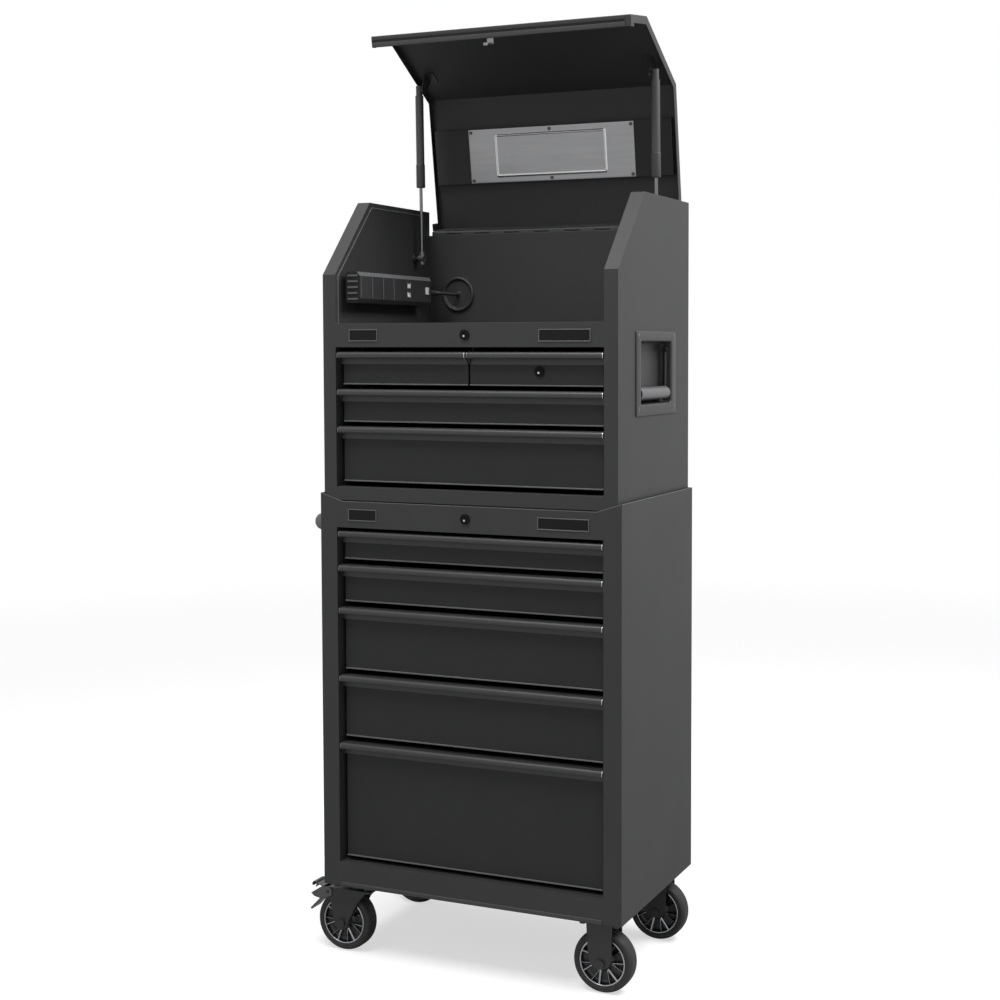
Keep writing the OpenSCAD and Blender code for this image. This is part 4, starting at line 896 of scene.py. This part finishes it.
def pressed_plate(name, half_w, half_h, panel_w, panel_h, columns, rows):
    """A grid over the plate. With d the distance in from a round-cornered rectangle, the
    height is the sheet's, plus a smooth step of 0.45 mm where d crosses zero, plus a rib that
    is a bell curve about d = 2.6 mm, and it drops at the plate's own edges."""
    u = np.linspace(-1, 1, columns)
    v = np.linspace(-1, 1, rows)
    u, v = np.sign(u) * np.abs(u) ** 0.9 * half_w, v * half_h
    x, y = np.meshgrid(u, v, indexing="xy")
    corner, sheet, panel_up = 0.005, 0.0008, 0.00045
    rib_in, rib_wide, rib_up = 0.0026, 0.0013, 0.0011
    qx, qy = np.abs(x) - panel_w + corner, np.abs(y) - panel_h + corner
    d = corner - np.hypot(np.maximum(qx, 0), np.maximum(qy, 0)) - np.minimum(np.maximum(qx, qy), 0)
    step = np.clip(d / 0.0016 + 0.5, 0, 1)
    height = sheet + panel_up * step * step * (3 - 2 * step)
    height += rib_up * np.exp(-((d - rib_in) / rib_wide) ** 2)
    edge = np.minimum(half_w - np.abs(x), half_h - np.abs(y))
    height -= 0.0003 * np.exp(-edge / 0.0006)
    top = (plate_mid + x[..., None] * np.array([1.0, 0, 0]) + y[..., None] * plate_up
           + height[..., None] * plate_out)
    faces = grid_faces(rows, columns, False, False)
    around = np.concatenate([np.arange(columns), np.arange(1, rows) * columns + columns - 1,
                             (rows - 1) * columns + np.arange(columns - 2, -1, -1),
                             np.arange(rows - 2, 0, -1) * columns])
    flat = top.reshape(-1, 3)
    foot = flat[around] - ((flat[around] - plate_mid) @ plate_out)[:, None] * plate_out
    points = np.concatenate([flat, foot])
    ring = np.arange(len(around))
    following = (ring + 1) % len(ring)
    skirt = np.stack([around, around[following], len(flat) + following, len(flat) + ring], axis=1)
    piece = add_skin(name, points, faces.tolist() + skirt.tolist() + [(len(flat) + ring).tolist()])
    shade_smooth(right_side_out(piece).data, 50)
    return piece


brushed = Finish("plate_brushed", Metallic=1.0)
at = brushed.place()
strokes = brushed.noise(brushed.stretched(at, (0.02, 1, 1)), 1700.0, 3.0, 0.65)
bands = brushed.noise(brushed.stretched(at, (0.05, 1, 1)), 150.0, 3.0, 0.6)
haze = brushed.noise(at, 11.0, 3.0, 0.5)
brushed.bump(strokes, 0.00003, 0.5)
plate_look = brushed.set(
    Base_Color=brushed.mix(bands * 0.6 + haze * 0.4, (0.19, 0.192, 0.196), (0.31, 0.312, 0.317)),
    Roughness=0.30 + 0.14 * strokes + 0.06 * haze)
plate = pressed_plate("name_plate", plate_w / 2, plate_h / 2, panel_w / 2, panel_h / 2, 300, 110)
rib_highlight = plated("plate_rubbed", (0.62, 0.625, 0.635), 0.16, 0.2)
dress(plate, "lid", "plate_metal", [plate_look, rib_highlight], "lid_plate")
# The rib's sloping faces take the brighter finish: a painted highlight.
tilt = of_faces(plate.data, "normal") @ plate_out
plate.data.polygons.foreach_set("material_index", ((tilt < 0.93) & (tilt > 0.2)).astype(np.int32))
rivet_x, rivet_up = plate_w / 2 - 0.005, plate_h / 2 - 0.005
spots = [plate_mid + np.array([x, 0, 0]) + y * plate_up + 0.0010 * plate_out
         for x in (-rivet_x, 0, rivet_x) for y in (-rivet_up, rivet_up)]
heads = domes("plate_rivets", spots, plate_out, 0.0031, 0.0017, 0.0008)
dress(heads, "lid", "castor_steel", rivet_steel)


# Gas struts: a satin black cylinder with a plastic sleeve at its lower end, a hard-chromed
# rod, and a socket that snaps onto the wall's ball stud.
rod_look = grained("rod_chrome", (1, 1, 9), (700.0, 2.0, 0.5), (0.00001, 0.3),
                   ((0.13, 0.131, 0.135), (0.20, 0.202, 0.207)), (0.2, 0.1), Metallic=1.0)
tube_coat = powder_coat("tube_coat", (0.040, 0.0403, 0.0415), 0.15, 0.3, 0.45)
sleeve_black = powder_coat("sleeve_black", (0.026, 0.0262, 0.027), 0.3, 0.36, 0.4)
socket_grey = plated("socket_grey", (0.16, 0.161, 0.165), 0.3, 0.2, 0.7)
tube_r = 0.0075
sleeve_outline = rounded([
    (tube_r - 0.0012, 0.0002), (tube_r + 0.0002, 0.0002), (tube_r + 0.0007, 0.0012),
    (tube_r + 0.0007, 0.0420), (tube_r + 0.0001, 0.0432), (tube_r - 0.0012, 0.0432)], 0.0005, 3)
for side in ("left", "right"):
    way = np.array(joints["strut_slide_" + side]["axis"], float)
    ball = np.array(joints["strut_turn_" + side]["pos_m"], float)
    tube = "strut_tube_" + side

    def on_socket(middle, facing, top=ball[2] + 0.0135):
        return middle[:, 2] < top

    softened("strut_rod_" + side, rod_look, 0.0003, [(socket_grey, on_socket)])
    softened(tube, tube_coat, 0.0008, segments=3)
    foot = ball + way * ((span(tube)[0][2] + 0.0003 - ball[2]) / way[2])
    sleeve = turned("strut_sleeve_" + side, sleeve_outline, foot, way, 40, 50)
    dress(sleeve, tube, "strut_paint", sleeve_black)


# Power bar: a ribbed black plastic housing on the left wall, with two USB sockets in bright
# metal shells and a white rocker marked with a bar and a ring. The sunk floors of its vents are
# painted dark as painted shade; its fin tips, proud ribs and faces turned up and to the right
# are painted grey as a painted highlight.
bar_black = Finish("bar_plastic", Metallic=0.0, Specular_IOR_Level=0.45)
at = bar_black.place()
spark, drift = bar_black.noise(at, 1300.0, 2.0, 0.6), bar_black.noise(at, 24.0, 3.0, 0.5)
bar_black.bump(spark, 0.00008, 0.6)
bar_look = bar_black.set(Base_Color=bar_black.mix(drift, (0.022, 0.022, 0.0235), (0.036, 0.036, 0.038)),
                         Roughness=0.34 + 0.12 * spark + 0.08 * drift)
face_x = chest_lo[0] + wall_in + 0.036
fin_grey = powder_coat("fin_grey", (0.085, 0.086, 0.089), 0.4, 0.36, 0.4)
vent_black = powder_coat("vent_black", (0.009, 0.009, 0.0095), 0.4, 0.5, 0.2)
fin_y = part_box("power_bar")[0][1]
# Patches: painted shade on the vents' sunk front faces, then a painted highlight in grey on the fin tips, the
# proud ribs and the faces turned up and to the right.
softened("power_bar", bar_look, 0.0006, [
    (vent_black, lambda middle, facing: to_front(middle, facing) & (middle[:, 1] < fin_y + 0.003)),
    (fin_grey, lambda middle, facing: middle[:, 1] < fin_y + 0.0014),
    (fin_grey, lambda middle, facing: (middle[:, 0] > face_x + 0.0007) & (middle[:, 1] < front_y + 0.15)),
    (fin_grey, lambda middle, facing: (facing[:, 0] > 0.4) & (facing[:, 2] > 0.4))], 3)


def slab(name, lo, hi, edge):
    """A block between two corners whose edges a bevel rounds."""
    lo, hi = np.minimum(lo, hi), np.maximum(lo, hi)
    pick = np.array([[x, y, z] for x in (0, 1) for y in (0, 1) for z in (0, 1)])
    faces = [(0, 1, 3, 2), (4, 6, 7, 5), (0, 4, 5, 1), (2, 3, 7, 6), (0, 2, 6, 4), (1, 5, 7, 3)]
    piece = right_side_out(add_skin(name, lo + pick * (hi - lo), faces))
    round_edge = piece.modifiers.new("edge", "BEVEL")
    round_edge.width, round_edge.segments = edge, 3
    piece.modifiers.new("shade", "WEIGHTED_NORMAL")
    return piece


def metal_shell(name, middle, outer, inner, depth, proud):
    """A socket's four-sided shell: an outer and an inner round-cornered rectangle in the plane
    of the face, joined from the back, round the front rim and back inside to a closed floor."""
    steps = [(outer, -depth), (outer, proud - 0.0002), (outer - 0.0002, proud), (inner + 0.0002, proud),
             (inner, proud - 0.0002), (inner, -depth + 0.001), (inner * 0.2, -depth + 0.001)]
    rings = []
    for half, height in steps:
        flat = corner_ring(half[0], half[1], 0.0008 * min(1, half[0] / 0.004), 4)
        rings.append(np.stack([np.full(len(flat), height), flat[:, 0], flat[:, 1]], axis=1))
    points = np.array(rings) + middle
    rows, columns = points.shape[:2]
    faces = grid_faces(rows, columns, False, True).tolist()
    faces += [list(range((rows - 1) * columns, rows * columns)), list(range(columns - 1, -1, -1))]
    return right_side_out(add_skin(name, points, faces, sharp=40))


usb_metal = plated("usb_metal", (0.80, 0.81, 0.82), 0.22, 0.15, 0.9)
ivory = Finish("switch_white", Metallic=0.0, Specular_IOR_Level=0.5)
at = ivory.place()
haze = ivory.noise(at, 300.0, 2.0, 0.5)
across_y, across_z = ivory.parts(at)[1:]
switch_lo, switch_hi = span("power_switch")
switch_mid = (switch_lo + switch_hi) / 2
dy, dz = across_y - float(switch_mid[1]), across_z - float(switch_mid[2])
ink_half, ring_r, mark_z, bar_half = 0.0004, 0.0016, 0.0030, 0.0018
ring_at = (dy * dy + (dz - mark_z) * (dz - mark_z)) ** 0.5
ring_ink = (abs(ring_at - ring_r) < ink_half) * 1.0
bar_ink = ((abs(dy) < ink_half) * (abs(dz + 0.0032) < bar_half)) * 1.0
ivory.bump(haze, 0.00003, 0.3)
plain = ivory.mix(haze, (0.80, 0.80, 0.78), (0.86, 0.86, 0.84))
ivory_look = ivory.set(Base_Color=ivory.mix((ring_ink + bar_ink).kept(), plain, (0.03, 0.03, 0.03)),
                       Roughness=0.26 + 0.12 * haze)
softened("power_switch", ivory_look, 0.0005)
shell_outer, shell_inner = np.array([0.0058, 0.0050]), np.array([0.0052, 0.0044])
tongue_half = np.array([0.0040, 0.0042, 0.0034])
for number, low in enumerate((0.0865, 0.1025), 1):
    spot = np.array([face_x, front_y + 0.192, tray_z + low + 0.00525])
    shell = metal_shell("usb_shell_%d" % number, spot, shell_outer, shell_inner, 0.010, 0.0003)
    dress(shell, "cabinet", "rod_chrome", usb_metal)
    middle = spot - (0.0052, 0, 0)
    tongue = slab("usb_tongue_%d" % number, middle - tongue_half, middle + tongue_half, 0.0004)
    dress(tongue, "cabinet", "switch_plastic", ivory_look)

# Gland boot: the cord's strain relief, moulded onto its jacket. It leaves the back end of
# the power bar and tapers in five ribs towards the wall.
boot_long, boot_wide, boot_narrow, rib_up, ribs = 0.0212, 0.0064, 0.0038, 0.0005, 5
share = np.linspace(0, 1, 61)
boot_r = boot_wide - (boot_wide - boot_narrow) * share + rib_up * np.cos(2 * math.pi * ribs * share)
outline = np.concatenate([[(0.0034, 0.0002)], np.stack([boot_r, 0.0005 + boot_long * share], axis=1),
                          [(0.0032, boot_long + 0.0006)]])
boot = turned("gland_boot", outline, cabinet_point(-222.0, 281.0, 1164.5),
              (math.sin(slant), math.cos(slant), 0.0), 36, 60)
dress(boot, "cabinet", "cord_jacket", jacket.material)

# Grommet: a soft rubber ring with a round rim, snapped into the back sheet, and a thin disc
# in it whose slit lets the plug through.
soft_look = grained("grommet_rubber", None, (900.0, 2.0, 0.6), (0.00006, 0.5),
                    ((0.024, 0.024, 0.025), (0.036, 0.036, 0.038)), (0.36, 0.16),
                    Metallic=0.0, Specular_IOR_Level=0.4)
hole = cabinet_point(hole_x, 334.8, hole_z)
corners = [(0.0330, 0.0001), (0.0330, 0.0024), (0.0312, 0.0048), (0.0286, 0.0048), (0.0264, 0.0020),
           (0.0252, 0.0006), (0.0054, 0.0004), (0.0044, 0.0014), (0.0024, 0.0008), (0.0024, -0.0038),
           (0.0296, -0.0038), (0.0296, 0.0001)]
radii = [0.0006, 0.0016, 0.0016, 0.0016, 0.0012, 0.0008, 0.0006, 0.0006, 0.0004, 0.0004, 0.0004, 0.0003]
ring = turned("grommet_ring", rounded(corners, radii, 5), hole, (0, -1, 0), 72, 60)
dress(ring, "cabinet", "grommet_plastic", soft_look, "grommet")
slit = slab("grommet_slit", (-0.0005, -0.0012, -0.0240), (0.0005, 0.0004, -0.0065), 0.0003)
turn_slit = np.array(Matrix.Rotation(math.radians(-14), 3, "Y"))
local = np.empty(len(slit.data.vertices) * 3)
slit.data.vertices.foreach_get("co", local)
slit.data.vertices.foreach_set("co", (local.reshape(-1, 3) @ turn_slit.T + hole - (0, 0.0001, 0)).reshape(-1))
dress(slit, "cabinet", "grommet_plastic", soft_look)

# Plug: a moulded three-pin plug with brass pins. It is moulded onto the cord's end and
# rests on the floor beside the coil.
plug_black = powder_coat("plug_black", (0.022, 0.022, 0.023), 0.3, 0.36, 0.4)
brass = plated("brass", (0.62, 0.48, 0.22), 0.28, 0.2)
pins_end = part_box("plug")[0][0] + 0.0178
softened("plug", plug_black, 0.0008, [(brass, lambda middle, facing: middle[:, 0] < pins_end)], 3)
